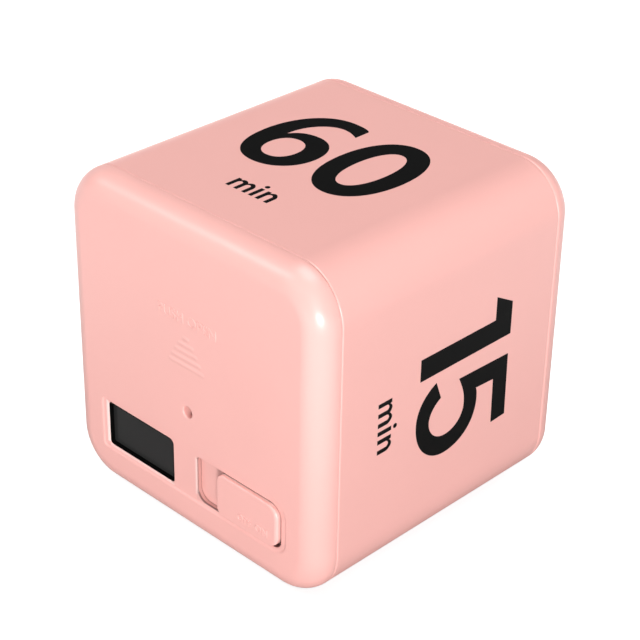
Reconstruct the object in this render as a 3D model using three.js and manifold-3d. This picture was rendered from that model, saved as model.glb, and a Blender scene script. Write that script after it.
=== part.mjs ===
// Cube timer: a numbered square sleeve closed by a rear cap, with a chassis for two cells, a small
// display and a slide switch behind a lift-off front cover.
// Millimetres. X is to the right seen from the display face, Y runs from that face to the rear, Z is up.
import * as THREE from 'three';
import { mergeVertices } from 'three/addons/utils/BufferGeometryUtils.js';
import Module from 'manifold-3d';

const wasm = await Module();
wasm.setup();

// Case, and the room that it keeps beside the battery tub and between the tub and the window
const tubFromSide = 6;
const tubFromWindow = 12.49;
const cornerRadius = 9.6;
const faceFillet = 4.8;
const sleeveWall = 2.2;
const rimWall = 1.2;
const capWall = 1.8;
const seam = 0.3;
const edgeBreak = 0.3;
const lipHeight = 2;
const lipThickness = 1.2;
const lipRoot = 1.4;

// Gap between pieces that rest on each other, and how far a cutter runs past a face
const touch = 0.3;
const overrun = 1;

// Points closer than this are one point of a solid
const weldDistance = 1e-4;

// Chassis
const flangeThickness = 1.8;
const deckMargin = 1.6;
const deckWall = 1.5;
const deckTopCorner = 0.5;
const tubWall = 1.1;
const tubFloor = 1.2;

// Cells, their contacts and the pad that keeps them from rattling
const cellDiameter = 10.5;
const cellLength = 44.5;
const nubDiameter = 3.8;
const nubHeight = 0.9;
const cellEdge = 0.5;
const plateThickness = 0.4;
const plateWidth = 8;
const tailWidth = 2.4;
const tailReach = 1.8;
const springWire = 0.6;
const springRoom = 3.6;
const springBaseRadius = 3.4;
const springTipRadius = 1.9;
const springTurns = 3;
const padThickness = 1.1;
const padLength = 30;
const padHeight = 16;
const padCorner = 2;

// Case screws and the bosses that they run into
const bossRadius = 2.3;
const pilotRadius = 1.3;
const pilotDepth = 12;
const bossRoot = 0.3;
const gussetThickness = 1.2;
const gussetReach = 3;
const caseScrewLength = 11;
const caseShankRadius = 1;
const caseHeadRadius = 1.8;
const caseHeadHeight = 1.3;

// Front face: window, switch slot, the shallow recess round both, sound hole and raised arrow
const windowWidth = 17.6;
const windowHeight = 9;
const windowFromSide = 10.4;
const windowFromBottom = 9.6;
const windowCorner = 0.8;
const slotHeight = 9.1;
const slotFromSide = 7.8;
const slotFromBottom = 9.25;
const slotCornerLeft = 1.4;
const slotCornerRight = 2.5;
const slotEndGap = 0.35;
const recessDepth = 0.25;
const recessEdge = 0.35;
const recessLeft = 1.95;
const recessRight = 0.55;
const recessBelow = 1;
const recessAbove = 0.4;
const recessCornerLeft = 0.8;
const recessCornerRight = 3.2;
const recessWall = 0.95;
const soundHoleRadius = 1.1;
const soundHoleEdge = 0.3;
const arrowRibWidths = [2.1, 4.4, 6.3, 7.9, 9.5];
const arrowTop = 9.4;
const arrowPitch = 1.37;
const arrowRibHeight = 0.65;
const arrowRibProud = 0.3;

// Switch: knob with its flange and fork, lever and hollow body
const knobLength = 16;
const knobGap = 0.25;
const knobCorner = 2.4;
const knobProud = 0.7;
const knobEdge = 0.5;
const knobTravel = 5;
const flangePlate = 1.2;
const flangeOverlap = 0.7;
const flangeCorner = 1;
const leverWidth = 2.6;
const leverHeight = 2.4;
const leverFoot = 1;
const leverFootThickness = 1.1;
const forkWall = 1.4;
const forkHeight = 4;
const forkRoom = 0.5;
const switchWall = 0.7;
const switchHeight = 6.2;
const switchDrop = 0.9;

// Display
const displayGap = 0.3;
const displayRim = 0.5;
const displayRimDepth = 0.2;
const displayRimCorner = 0.55;
const displayLedge = 0.6;
const displayBaseX = 0.4;
const displayBaseZ = 0.8;
const lensDepth = 0.95;
const lensThickness = 1;
const glassThickness = 2;
const glassInset = 0.6;
const zebraThickness = 1.8;
const zebraInset = 1.2;
const zebraEnd = 1.1;

// Main board and what is soldered to it
const boardThickness = 1.6;
const boardMargin = 0.5;
const boardCorner = 1;
const boardFromWall = 2.6;
const boardScrewFromEnd = 9;
const boardScrewTop = 3.3;
const boardScrewBottom = 2.6;
const boardPostRadius = 2;
const boardHoleRadius = 1.1;
const boardShankRadius = 0.8;
const boardShankLength = 5.2;
const boardHeadRadius = 1.6;
const boardHeadHeight = 1.1;
const buzzerRadius = 4.5;
const buzzerPortDepth = 1.2;
const blobRadius = 5.5;
const blobHeight = 1.6;
const sensorWidth = 7.4;
const sensorHeight = 5;
const sensorEdge = 0.5;
const crystalRadius = 1;
const crystalLength = 6;
const capacitorRadius = 2.5;
const capacitorLength = 6.5;
const capacitorGroove = 0.3;
const componentMargin = 3;
const crystalDrop = 7.2;
const wireRadius = 0.6;
const wireReachUpper = 5;
const wireReachLower = 2.4;
const wireBend = 1.6;
const wirePitch = 3.2;

// Smoothness of round forms
const cornerSteps = 5;
const smallCornerSteps = 3;
const filletSteps = 8;
const smallFilletSteps = 3;
const roundSides = 32;
const smallSides = 16;
const wireSides = 8;
const wireSteps = 16;
const springSides = 5;
const springStepsPerTurn = 8;

// The case is a cube as wide as its cells need across, or as high as cells and display need together
const bayHalf = (cellLength + springRoom + 2 * plateThickness + 3 * touch) / 2;
const tubHalf = bayHalf + tubWall;
const tubHeight = 2 * cellDiameter + 3 * touch + 2 * tubWall;
const bossFromCorner = (cornerRadius - sleeveWall - touch - bossRadius) * Math.SQRT1_2;
const tubFromTop = cornerRadius - bossFromCorner + bossRadius + touch;
const widthNeeded = 2 * (tubHalf + tubFromSide);
const heightNeeded = windowFromBottom + windowHeight + tubFromWindow + tubHeight + tubFromTop;
const side = Math.max(widthNeeded, heightNeeded);

// Levels of the case, counted from the cube's centre
const half = side / 2;
const faceFlat = half - faceFillet;
const sleeveEnd = faceFlat - seam;
const cornerCentre = half - cornerRadius;
const sleeveInner = half - sleeveWall;
const rimInner = half - rimWall;
const spigot = rimInner - touch;
const capInner = half - capWall;
const lipEnd = faceFlat - lipHeight;
const flangeFront = -lipEnd + touch;
const flangeRear = flangeFront + flangeThickness;
const ledgeFront = flangeRear + touch;
const ledgeRear = lipEnd - touch;
const bossCentre = cornerCentre + bossFromCorner;

// Layers behind the front face, from the face inwards
const recessFloor = -half + recessDepth;
const pocketFloor = recessFloor + recessWall;
const knobFlangeFront = pocketFloor + touch;
const knobFlangeRear = knobFlangeFront + flangePlate;
const deckFront = knobFlangeRear + touch;
const deckRear = deckFront + deckWall;
const boardFront = flangeRear + touch;
const boardRear = boardFront + boardThickness;
const partsFront = boardRear + touch;

// Battery tub, placed under the upper screw bosses
const cellRadius = cellDiameter / 2;
const tubTop = half - tubFromTop;
const bayTop = tubTop - tubWall;
const upperCellZ = bayTop - touch - cellRadius;
const lowerCellZ = upperCellZ - cellDiameter - touch;
const bayBottom = lowerCellZ - cellRadius - touch;
const tubBottom = tubTop - tubHeight;
const padFront = -capInner + touch;
const cellY = padFront + padThickness + touch + cellRadius;
const bayRear = cellY + cellRadius + touch;
const tubRear = bayRear + tubFloor;
const plateOuter = bayHalf - touch;
const plateInner = plateOuter - plateThickness;
const cellX = plateInner - touch - cellLength / 2;
const tailEnd = tubRear + tailReach;

// Lower deck, whose corners stay clear of the screw heads
const deckHalf = faceFlat - deckMargin;
const headRoom = caseHeadRadius + touch - (bossCentre - deckHalf) * Math.SQRT2;
const deckCorner = Math.max(headRoom / (Math.SQRT2 - 1), 2 * deckWall);
const deckInner = deckHalf - deckWall;

// Window, slot, sound hole and what lies behind them
const windowX = -half + windowFromSide + windowWidth / 2;
const windowZ = -half + windowFromBottom + windowHeight / 2;
const slotRight = half - slotFromSide;
const slotLeft = slotRight - knobLength - knobTravel - 2 * slotEndGap;
const slotBottom = -half + slotFromBottom;
const slotZ = slotBottom + slotHeight / 2;
const knobX = slotRight - slotEndGap - knobLength / 2;
const buzzerZ = tubBottom - touch - buzzerRadius;
const flangeLeftEdge = slotLeft - flangeOverlap;
const flangeRightEdge = faceFlat - touch;
const glassWidth = windowWidth + 2 * (displayBaseX - glassInset);
const glassHeight = windowHeight + 2 * (displayBaseZ - glassInset);
const forkHalf = leverWidth / 2 + touch + forkWall;
const switchFront = deckRear + switchDrop;
const switchCavity = leverWidth / 2 + leverFoot + touch;
const switchLeft = knobX - knobTravel - switchCavity - switchWall;
const switchRight = knobX + switchCavity + switchWall;

// Board outline and its three screws
const boardHalf = bossCentre - bossRadius - boardMargin;
const boardTop = tubBottom - touch;
const boardScrewX = boardHalf - boardScrewFromEnd;
const boardBottom = -sleeveInner + boardFromWall;
const boardScrews = [
  [-boardScrewX, tubBottom - boardScrewTop],
  [boardScrewX, tubBottom - boardScrewTop],
  [(windowX + glassWidth / 2 + touch + switchLeft) / 2, -deckInner + boardScrewBottom],
];
const bosses = [
  [-bossCentre, -bossCentre],
  [bossCentre, -bossCentre],
  [bossCentre, bossCentre],
  [-bossCentre, bossCentre],
];

// Closed geometry to a solid that can be joined and cut
function toSolid(geometry) {
  const bare = geometry.index ? geometry.toNonIndexed() : geometry.clone();
  bare.deleteAttribute('normal');
  bare.deleteAttribute('uv');
  const merged = mergeVertices(bare, weldDistance);
  const corners = [];
  for (let i = 0; i < merged.index.count; i += 3) {
    const [a, b, c] = [merged.index.getX(i), merged.index.getX(i + 1), merged.index.getX(i + 2)];
    if (a !== b && b !== c && c !== a) corners.push(a, b, c);
  }
  return new wasm.Manifold(new wasm.Mesh({
    numProp: 3,
    vertProperties: new Float32Array(merged.attributes.position.array),
    triVerts: new Uint32Array(corners),
  }));
}

function toGeometry(solid) {
  const mesh = solid.getMesh();
  const geometry = new THREE.BufferGeometry();
  geometry.setAttribute('position', new THREE.BufferAttribute(new Float32Array(mesh.vertProperties), 3));
  geometry.setIndex(Array.from(mesh.triVerts));
  geometry.computeVertexNormals();
  return geometry;
}

function join(...solids) {
  return solids.reduce((whole, next) => whole.add(next));
}

function cut(solid, ...cutters) {
  return cutters.reduce((whole, next) => whole.subtract(next), solid);
}

// Outline in X and Z; radii run from the lower left corner anticlockwise
function roundedOutline(left, right, bottom, top, radii) {
  const four = Array.isArray(radii) ? radii : Array(4).fill(radii);
  const [lowerLeft, lowerRight, upperRight, upperLeft] = four;
  const quarter = Math.PI / 2;
  const outline = new THREE.Shape();
  outline.moveTo(left + lowerLeft, bottom);
  outline.absarc(right - lowerRight, bottom + lowerRight, lowerRight, -quarter, 0);
  outline.absarc(right - upperRight, top - upperRight, upperRight, 0, quarter);
  outline.absarc(left + upperLeft, top - upperLeft, upperLeft, quarter, 2 * quarter);
  outline.absarc(left + lowerLeft, bottom + lowerLeft, lowerLeft, 2 * quarter, 3 * quarter);
  return outline;
}

function squareOutline(halfWidth, radius) {
  return roundedOutline(-halfWidth, halfWidth, -halfWidth, halfWidth, radius);
}

function centredOutline(x, z, width, height, radii) {
  return roundedOutline(x - width / 2, x + width / 2, z - height / 2, z + height / 2, radii);
}

// An outline carried along Y from one level to another
function slab(outline, front, rear, curveSegments = cornerSteps) {
  const depth = rear - front;
  const geometry = new THREE.ExtrudeGeometry(outline, { depth, bevelEnabled: false, curveSegments });
  geometry.rotateX(Math.PI / 2);
  geometry.translate(0, rear, 0);
  return toSolid(geometry);
}

// The same with both ends rounded or chamfered inwards
function easedSlab(outline, front, rear, edge, steps, curveSegments = cornerSteps) {
  const geometry = new THREE.ExtrudeGeometry(outline, {
    depth: rear - front - 2 * edge,
    bevelSize: edge,
    bevelThickness: edge,
    bevelOffset: -edge,
    bevelSegments: steps,
    curveSegments,
  });
  geometry.rotateX(Math.PI / 2);
  geometry.translate(0, rear - edge, 0);
  return toSolid(geometry);
}

function block(left, right, front, rear, bottom, top) {
  const geometry = new THREE.BoxGeometry(right - left, rear - front, top - bottom);
  geometry.translate((left + right) / 2, (front + rear) / 2, (bottom + top) / 2);
  return toSolid(geometry);
}

// A rod along Y, which may be tapered towards the rear
function rod(radius, front, rear, x, z, sides = roundSides, rearRadius = radius) {
  const geometry = new THREE.CylinderGeometry(rearRadius, radius, rear - front, sides);
  geometry.translate(x, (front + rear) / 2, z);
  return toSolid(geometry);
}

// A turned body on Y, from pairs of radius and distance
function turned(profile, sides = roundSides) {
  const points = profile.map(([radius, distance]) => new THREE.Vector2(radius, distance));
  return new THREE.LatheGeometry(points, sides);
}

function polygon(radius, sides) {
  const corners = [];
  for (let i = 0; i < sides; i += 1) {
    const angle = (2 * Math.PI * i) / sides;
    corners.push(new THREE.Vector2(radius * Math.cos(angle), radius * Math.sin(angle)));
  }
  return new THREE.Shape(corners);
}

// Shell shared by the front cover and the rear cap, drawn as the front one
function capShell() {
  const lipCorner = cornerRadius - rimWall - touch;
  const outside = easedSlab(squareOutline(half, cornerRadius), -half, -faceFlat + 2 * faceFillet,
    faceFillet, filletSteps);
  const innerFillet = faceFillet - capWall;
  const inside = easedSlab(squareOutline(capInner, cornerRadius - capWall), -capInner,
    -faceFlat + 2 * faceFillet, innerFillet, smallFilletSteps);
  const behind = block(-side, side, -faceFlat, side, -side, side);
  const lipFront = -faceFlat - lipRoot;
  const lipInside = squareOutline(spigot - lipThickness, lipCorner - lipThickness);
  const lip = cut(
    slab(squareOutline(spigot, lipCorner), lipFront, -lipEnd),
    slab(lipInside, lipFront - overrun, -lipEnd + overrun),
  );
  return join(cut(outside, behind, inside), lip);
}

function bodySleeve() {
  return cut(
    easedSlab(squareOutline(half, cornerRadius), -sleeveEnd, sleeveEnd, edgeBreak, 1),
    slab(squareOutline(sleeveInner, cornerRadius - sleeveWall), -half, half),
    slab(squareOutline(rimInner, cornerRadius - rimWall), -half, ledgeFront),
    slab(squareOutline(rimInner, cornerRadius - rimWall), ledgeRear, half),
  );
}

// Drawn facing forwards and turned round when it is placed
function rearCap() {
  const bossEnd = -ledgeFront;
  const bossStart = -capInner - bossRoot;
  let cap = capShell();
  for (const [x, z] of bosses) {
    cap = cap.add(rod(bossRadius, bossStart, bossEnd, x, z, smallSides));
    const inner = Math.sign(x) * (bossCentre - bossRadius - gussetReach);
    cap = cap.add(block(Math.min(x, inner), Math.max(x, inner), bossStart - bossRoot / 2,
      -faceFlat + gussetReach, z - gussetThickness / 2, z + gussetThickness / 2));
  }
  for (const [x, z] of bosses) {
    cap = cap.subtract(rod(pilotRadius, bossEnd - pilotDepth, bossEnd + overrun, x, z, smallSides));
  }
  return cap;
}

function frontCover() {
  const windowHole = slab(centredOutline(windowX, windowZ, windowWidth, windowHeight, windowCorner),
    -half - overrun, -capInner + overrun, smallCornerSteps);
  const slotTop = slotBottom + slotHeight;
  const slot = slab(roundedOutline(slotLeft, slotRight, slotBottom, slotTop,
    [slotCornerLeft, slotCornerRight, slotCornerRight, slotCornerLeft]),
    -half - overrun, -capInner + overrun, smallCornerSteps);
  const recessOutline = roundedOutline(
    windowX - windowWidth / 2 - recessLeft - recessEdge, slotRight + recessRight + recessEdge,
    slotBottom - recessBelow - recessEdge, slotTop + recessAbove + recessEdge,
    [recessCornerLeft, recessCornerRight, recessCornerRight, recessCornerLeft],
  );
  const recess = easedSlab(recessOutline, -half - overrun, recessFloor, recessEdge, smallFilletSteps,
    smallCornerSteps);
  const windowReach = windowHeight / 2 + displayBaseZ;
  const pocketBottom = Math.min(slotBottom - flangeOverlap, windowZ - windowReach);
  const pocketTop = Math.max(slotTop + flangeOverlap, windowZ + windowReach);
  const pocket = slab(roundedOutline(windowX - windowWidth / 2 - displayBaseX - touch, faceFlat,
    pocketBottom - touch, pocketTop + touch, windowCorner), pocketFloor, -capInner + touch, smallCornerSteps);
  const soundHole = join(
    rod(soundHoleRadius, -half - overrun, -capInner + overrun, 0, buzzerZ, smallSides),
    rod(soundHoleRadius + 2 * soundHoleEdge, -half - soundHoleEdge, -half + soundHoleEdge, 0, buzzerZ,
      smallSides, soundHoleRadius),
  );
  let cover = cut(capShell(), recess, windowHole, slot, pocket, soundHole);
  arrowRibWidths.forEach((width, row) => {
    const z = arrowTop - row * arrowPitch;
    cover = cover.add(slab(centredOutline(0, z, width, arrowRibHeight, arrowRibHeight / 2),
      -half - arrowRibProud, -half + arrowRibProud, smallCornerSteps));
  });
  return cover;
}

// Perimeter flange, raised deck for display and switch, and the tub for the cells, in one moulding
function chassis() {
  const flange = slab(squareOutline(spigot, cornerRadius - rimWall - touch), flangeFront, flangeRear);
  const deck = slab(roundedOutline(-deckHalf, deckHalf, -deckHalf, bayBottom,
    [deckCorner, deckCorner, deckTopCorner, deckTopCorner]), deckFront, flangeRear, smallCornerSteps);
  const tub = block(-tubHalf, tubHalf, deckFront, tubRear, tubBottom, tubTop);
  const deckRoom = slab(roundedOutline(-deckInner, deckInner, -deckInner, tubBottom,
    [deckCorner - deckWall, deckCorner - deckWall, deckTopCorner, deckTopCorner]),
    deckRear, flangeRear + overrun, smallCornerSteps);
  const bay = block(-bayHalf, bayHalf, deckFront - overrun, bayRear, bayBottom, bayTop);
  const displayOpening = slab(centredOutline(windowX, windowZ, glassWidth + 2 * touch,
    glassHeight + 2 * touch, windowCorner), deckFront - overrun, deckRear + overrun, smallCornerSteps);
  const forkReach = forkHeight / 2 + forkRoom;
  const forkSlot = block(knobX - knobTravel - forkHalf - forkRoom, knobX + forkHalf + forkRoom,
    deckFront - overrun, deckRear + overrun, slotZ - forkReach, slotZ + forkReach);
  const port = rod(soundHoleRadius, deckFront - overrun, deckRear + overrun, 0, buzzerZ, smallSides);
  let body = cut(join(flange, deck, tub), deckRoom, bay, displayOpening, forkSlot, port);
  for (const [x, z] of bosses) {
    body = body.subtract(rod(pilotRadius, flangeFront - overrun, flangeRear + overrun, x, z, smallSides));
  }
  for (const [x, z] of boardScrews) {
    body = body.add(rod(boardPostRadius, deckRear - deckWall / 2, flangeRear, x, z, smallSides));
    body = body.subtract(rod(boardHoleRadius, deckRear, flangeRear + overrun, x, z, smallSides));
  }
  for (const z of [upperCellZ, lowerCellZ]) {
    body = body.subtract(block(plateInner - touch, bayHalf, bayRear - overrun, tubRear + overrun,
      z - tailWidth / 2 - touch, z + tailWidth / 2 + touch));
  }
  return body;
}

// Cell with its nub towards +X, or towards -X when facing is -1
function cell(facing) {
  const body = cellLength - nubHeight;
  const geometry = turned([
    [0, 0],
    [cellRadius - cellEdge, 0],
    [cellRadius, cellEdge],
    [cellRadius, body - cellEdge],
    [cellRadius - cellEdge, body],
    [nubDiameter / 2, body],
    [nubDiameter / 2, cellLength],
    [0, cellLength],
  ]);
  geometry.translate(0, -cellLength / 2, 0);
  geometry.rotateZ(-facing * Math.PI / 2);
  geometry.translate(facing * cellX, cellY, facing > 0 ? upperCellZ : lowerCellZ);
  return toSolid(geometry);
}

// Centre line of a conical spring on X, from the plate to the cell
class SpringLine extends THREE.Curve {
  constructor(from, to, z) {
    super();
    this.from = from;
    this.to = to;
    this.z = z;
  }

  getPoint(share) {
    const angle = 2 * Math.PI * springTurns * share;
    const radius = THREE.MathUtils.lerp(springBaseRadius, springTipRadius, share);
    return new THREE.Vector3(
      THREE.MathUtils.lerp(this.from, this.to, share),
      cellY + radius * Math.cos(angle),
      this.z + radius * Math.sin(angle),
    );
  }
}

function leastGap(line) {
  const points = line.getPoints(springTurns * springStepsPerTurn);
  let least = Infinity;
  points.forEach((point, i) => {
    points.slice(i + springStepsPerTurn / 2).forEach((other) => {
      least = Math.min(least, point.distanceTo(other) - springWire);
    });
  });
  return least;
}

// Spring of a contact whose plate has its inner face at the given X
function contactSpring(plateFace, z) {
  const inward = -Math.sign(plateFace);
  const from = plateFace + inward * (springWire / 2 - plateThickness / 2);
  const to = plateFace + inward * (springRoom - touch - springWire / 2);
  const line = new SpringLine(from, to, z);
  console.log(`battery spring: least gap between turns ${leastGap(line).toFixed(2)} mm`);
  return toSolid(new THREE.ExtrudeGeometry(polygon(springWire / 2, springSides), {
    steps: springTurns * springStepsPerTurn,
    extrudePath: line,
  }));
}

function contactPlate(low, high) {
  return block(plateInner, plateOuter, cellY - plateWidth / 2, cellY + plateWidth / 2,
    low - plateWidth / 2, high + plateWidth / 2);
}

function contactTail(z) {
  return block(plateInner, plateOuter, cellY, tailEnd, z - tailWidth / 2, z + tailWidth / 2);
}

function positiveContact() {
  return join(contactPlate(upperCellZ, upperCellZ), contactTail(upperCellZ));
}

function negativeContact() {
  return join(contactPlate(lowerCellZ, lowerCellZ), contactTail(lowerCellZ),
    contactSpring(plateInner, lowerCellZ));
}

function bridgeContact() {
  const plate = block(-plateOuter, -plateInner, cellY - plateWidth / 2, cellY + plateWidth / 2,
    lowerCellZ - plateWidth / 2, upperCellZ + plateWidth / 2);
  return join(plate, contactSpring(-plateInner, upperCellZ));
}

// Lead from a contact's tail round the back of the tub and down to the board
function lead(tailZ, reach, padX) {
  const tailX = (plateInner + plateOuter) / 2;
  const deep = tailEnd + reach;
  const low = boardTop - wireBend;
  const route = new THREE.CatmullRomCurve3([
    new THREE.Vector3(tailX, tailEnd + touch, tailZ),
    new THREE.Vector3(tailX, tailEnd + touch + wireBend / 2, tailZ),
    new THREE.Vector3(tailX - wireBend, deep, tailZ - wireBend),
    new THREE.Vector3((tailX + padX) / 2, deep, (tailZ + low) / 2),
    new THREE.Vector3(padX, deep - wireBend, low + wireBend / 2),
    new THREE.Vector3(padX, partsFront + wireBend, low - wireBend / 2),
    new THREE.Vector3(padX, partsFront, low - wireBend / 2),
  ]);
  return toSolid(new THREE.ExtrudeGeometry(polygon(wireRadius, wireSides), {
    steps: wireSteps,
    extrudePath: route,
  }));
}

function cellPad() {
  return slab(centredOutline(0, (upperCellZ + lowerCellZ) / 2, padLength, padHeight, padCorner),
    padFront, padFront + padThickness, smallCornerSteps);
}

function displayFrame() {
  const rimWidth = windowWidth - 2 * displayGap;
  const rimHeight = windowHeight - 2 * displayGap;
  const lensWidth = rimWidth - 2 * displayRim;
  const lensHeight = rimHeight - 2 * displayRim;
  const rimFront = recessFloor + displayRimDepth;
  const lensSeat = -half + lensDepth + lensThickness + touch;
  return cut(
    join(
      slab(centredOutline(windowX, windowZ, rimWidth, rimHeight, displayRimCorner), rimFront,
        knobFlangeRear, smallCornerSteps),
      slab(centredOutline(windowX, windowZ, windowWidth + 2 * displayBaseX, windowHeight + 2 * displayBaseZ,
        windowCorner), knobFlangeFront, knobFlangeRear, smallCornerSteps),
    ),
    block(windowX - lensWidth / 2, windowX + lensWidth / 2, rimFront - overrun, lensSeat,
      windowZ - lensHeight / 2, windowZ + lensHeight / 2),
    block(windowX - lensWidth / 2 + displayLedge, windowX + lensWidth / 2 - displayLedge,
      rimFront - overrun, knobFlangeRear + overrun,
      windowZ - lensHeight / 2 + displayLedge, windowZ + lensHeight / 2 - displayLedge),
  );
}

function displayLens() {
  const inset = displayGap + displayRim + touch;
  const front = -half + lensDepth;
  return block(windowX - windowWidth / 2 + inset, windowX + windowWidth / 2 - inset,
    front, front + lensThickness,
    windowZ - windowHeight / 2 + inset, windowZ + windowHeight / 2 - inset);
}

function displayGlass() {
  return block(windowX - glassWidth / 2, windowX + glassWidth / 2, deckFront, deckFront + glassThickness,
    windowZ - glassHeight / 2, windowZ + glassHeight / 2);
}

function zebraStrip(direction) {
  const z = windowZ + direction * (glassHeight / 2 - zebraInset);
  return block(windowX - glassWidth / 2 + zebraEnd, windowX + glassWidth / 2 - zebraEnd,
    deckFront + glassThickness + touch, boardFront - touch, z - zebraThickness / 2, z + zebraThickness / 2);
}

function switchKnob() {
  const cap = easedSlab(centredOutline(knobX, slotZ, knobLength, slotHeight - 2 * knobGap, knobCorner),
    -half - knobProud, knobFlangeRear + knobEdge, knobEdge, smallFilletSteps, smallCornerSteps);
  const behind = block(-side, side, knobFlangeRear, half, -side, side);
  const flangeOutline = roundedOutline(flangeLeftEdge, flangeRightEdge, slotBottom - flangeOverlap,
    slotBottom + slotHeight + flangeOverlap, flangeCorner);
  const flange = slab(flangeOutline, knobFlangeFront, knobFlangeRear, smallCornerSteps);
  let knob = join(cut(cap, behind), flange);
  for (const direction of [-1, 1]) {
    const inner = knobX + direction * (leverWidth / 2 + touch);
    const outer = knobX + direction * forkHalf;
    knob = knob.add(block(Math.min(inner, outer), Math.max(inner, outer), knobFlangeFront,
      switchFront - touch, slotZ - forkHeight / 2, slotZ + forkHeight / 2));
  }
  return knob;
}

function switchLever() {
  const footFront = switchFront + switchWall + touch;
  return join(
    block(knobX - leverWidth / 2, knobX + leverWidth / 2, knobFlangeRear + touch,
      footFront + leverFootThickness, slotZ - leverHeight / 2, slotZ + leverHeight / 2),
    block(knobX - leverWidth / 2 - leverFoot, knobX + leverWidth / 2 + leverFoot, footFront,
      footFront + leverFootThickness, slotZ - leverHeight / 2 - touch, slotZ + leverHeight / 2 + touch),
  );
}

function switchBody() {
  const rear = boardFront - touch;
  return cut(
    block(switchLeft, switchRight, switchFront, rear, slotZ - switchHeight / 2, slotZ + switchHeight / 2),
    block(switchLeft + switchWall, switchRight - switchWall, switchFront + switchWall, rear + overrun,
      slotZ - switchHeight / 2 + switchWall, slotZ + switchHeight / 2 - switchWall),
    block(knobX - knobTravel - leverWidth / 2 - touch, knobX + leverWidth / 2 + touch,
      switchFront - overrun, switchFront + switchWall + overrun,
      slotZ - leverHeight / 2 - touch, slotZ + leverHeight / 2 + touch),
  );
}

function mainBoard() {
  let board = slab(roundedOutline(-boardHalf, boardHalf, boardBottom, boardTop, boardCorner),
    boardFront, boardRear, smallCornerSteps);
  for (const [x, z] of boardScrews) {
    board = board.subtract(rod(boardHoleRadius, boardFront - overrun, boardRear + overrun, x, z, smallSides));
  }
  return board;
}

function buzzer() {
  return cut(
    rod(buzzerRadius, deckRear + touch, boardFront - touch, 0, buzzerZ),
    rod(soundHoleRadius, deckRear, deckRear + touch + buzzerPortDepth, 0, buzzerZ, smallSides),
  );
}

// Drop of resin over the controller chip: the cap of a sphere
function controllerBlob() {
  const sphere = (blobRadius ** 2 + blobHeight ** 2) / (2 * blobHeight);
  const profile = [[0, 0]];
  for (let i = 0; i < filletSteps; i += 1) {
    const radius = blobRadius * (1 - i / filletSteps);
    profile.push([radius, Math.sqrt(sphere ** 2 - radius ** 2) - sphere + blobHeight]);
  }
  profile.push([0, blobHeight]);
  const geometry = turned(profile);
  geometry.translate(-boardHalf / 2, partsFront, (boardTop + boardBottom) / 2 - componentMargin);
  return toSolid(geometry);
}

function tiltSensor() {
  const x = boardHalf / 2;
  const z = (boardTop + boardBottom) / 2 - componentMargin;
  return easedSlab(centredOutline(x, z, sensorWidth, sensorWidth, sensorEdge + sensorEdge), partsFront,
    partsFront + sensorHeight, sensorEdge, 1, 1);
}

// A round can lying on the board along X
function lyingCan(profile, radius, left, z) {
  const geometry = turned(profile, smallSides);
  geometry.rotateZ(-Math.PI / 2);
  geometry.translate(left, partsFront + radius, z);
  return toSolid(geometry);
}

function crystal() {
  return lyingCan([[0, 0], [crystalRadius, 0], [crystalRadius, crystalLength], [0, crystalLength]],
    crystalRadius, -boardHalf / 2 - crystalLength / 2, boardTop - crystalDrop);
}

function capacitor() {
  return lyingCan([
    [0, 0],
    [capacitorRadius, 0],
    [capacitorRadius, capacitorGroove],
    [capacitorRadius - capacitorGroove, 2 * capacitorGroove],
    [capacitorRadius, 3 * capacitorGroove],
    [capacitorRadius, capacitorLength],
    [0, capacitorLength],
  ], capacitorRadius, componentMargin - capacitorLength / 2, boardTop - componentMargin - capacitorRadius);
}

// Pan-head screw on Y whose head faces forwards, with its seat at the given level
function screw(seat, x, z, headRadius, headHeight, shankRadius, shankLength) {
  const geometry = turned([
    [0, -headHeight],
    [headRadius * Math.SQRT1_2, -headHeight],
    [headRadius, -headHeight / 2],
    [headRadius, 0],
    [shankRadius, 0],
    [shankRadius, shankLength - shankRadius],
    [0, shankLength],
  ], smallSides);
  geometry.translate(x, seat, z);
  return geometry;
}

function caseScrew([x, z]) {
  return toSolid(screw(flangeFront - touch, x, z, caseHeadRadius, caseHeadHeight, caseShankRadius,
    caseScrewLength));
}

// Board screws come from the rear, so the forward screw is turned round
function boardScrew([x, z]) {
  const geometry = screw(0, 0, 0, boardHeadRadius, boardHeadHeight, boardShankRadius, boardShankLength);
  geometry.rotateZ(Math.PI);
  geometry.translate(x, boardRear + touch, z);
  return toSolid(geometry);
}

// Finishes
function plastic(color, roughness) {
  return new THREE.MeshStandardMaterial({ color, roughness, metalness: 0 });
}

function metal(color, roughness) {
  return new THREE.MeshStandardMaterial({ color, roughness, metalness: 1 });
}

const pinkPlastic = 0xf9c1bb;
const blackPlastic = 0x1a1a1c;

function piece(name, solid, material) {
  const mesh = new THREE.Mesh(toGeometry(solid), material);
  mesh.name = name;
  return mesh;
}

// Half a turn about Z, written as a scale so that every point lands exactly opposite
function rearCapMesh() {
  const mesh = piece('rear_cap', rearCap(), plastic(pinkPlastic, 0.3));
  mesh.geometry.scale(-1, -1, 1);
  return mesh;
}

function assembly(...children) {
  const group = new THREE.Group();
  group.add(...children);
  return group;
}

const caseGroup = assembly(
  piece('body_sleeve', bodySleeve(), plastic(pinkPlastic, 0.3)),
  rearCapMesh(),
  piece('chassis', chassis(), plastic(pinkPlastic, 0.4)),
  ...bosses.map((place, i) => piece(`case_screw_${i + 1}`, caseScrew(place), metal(0xb8babd, 0.35))),
);

const coverGroup = assembly(
  piece('front_cover', frontCover(), plastic(pinkPlastic, 0.3)),
  piece('cell_pad', cellPad(), plastic(0x2b2b2d, 0.95)),
);

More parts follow.
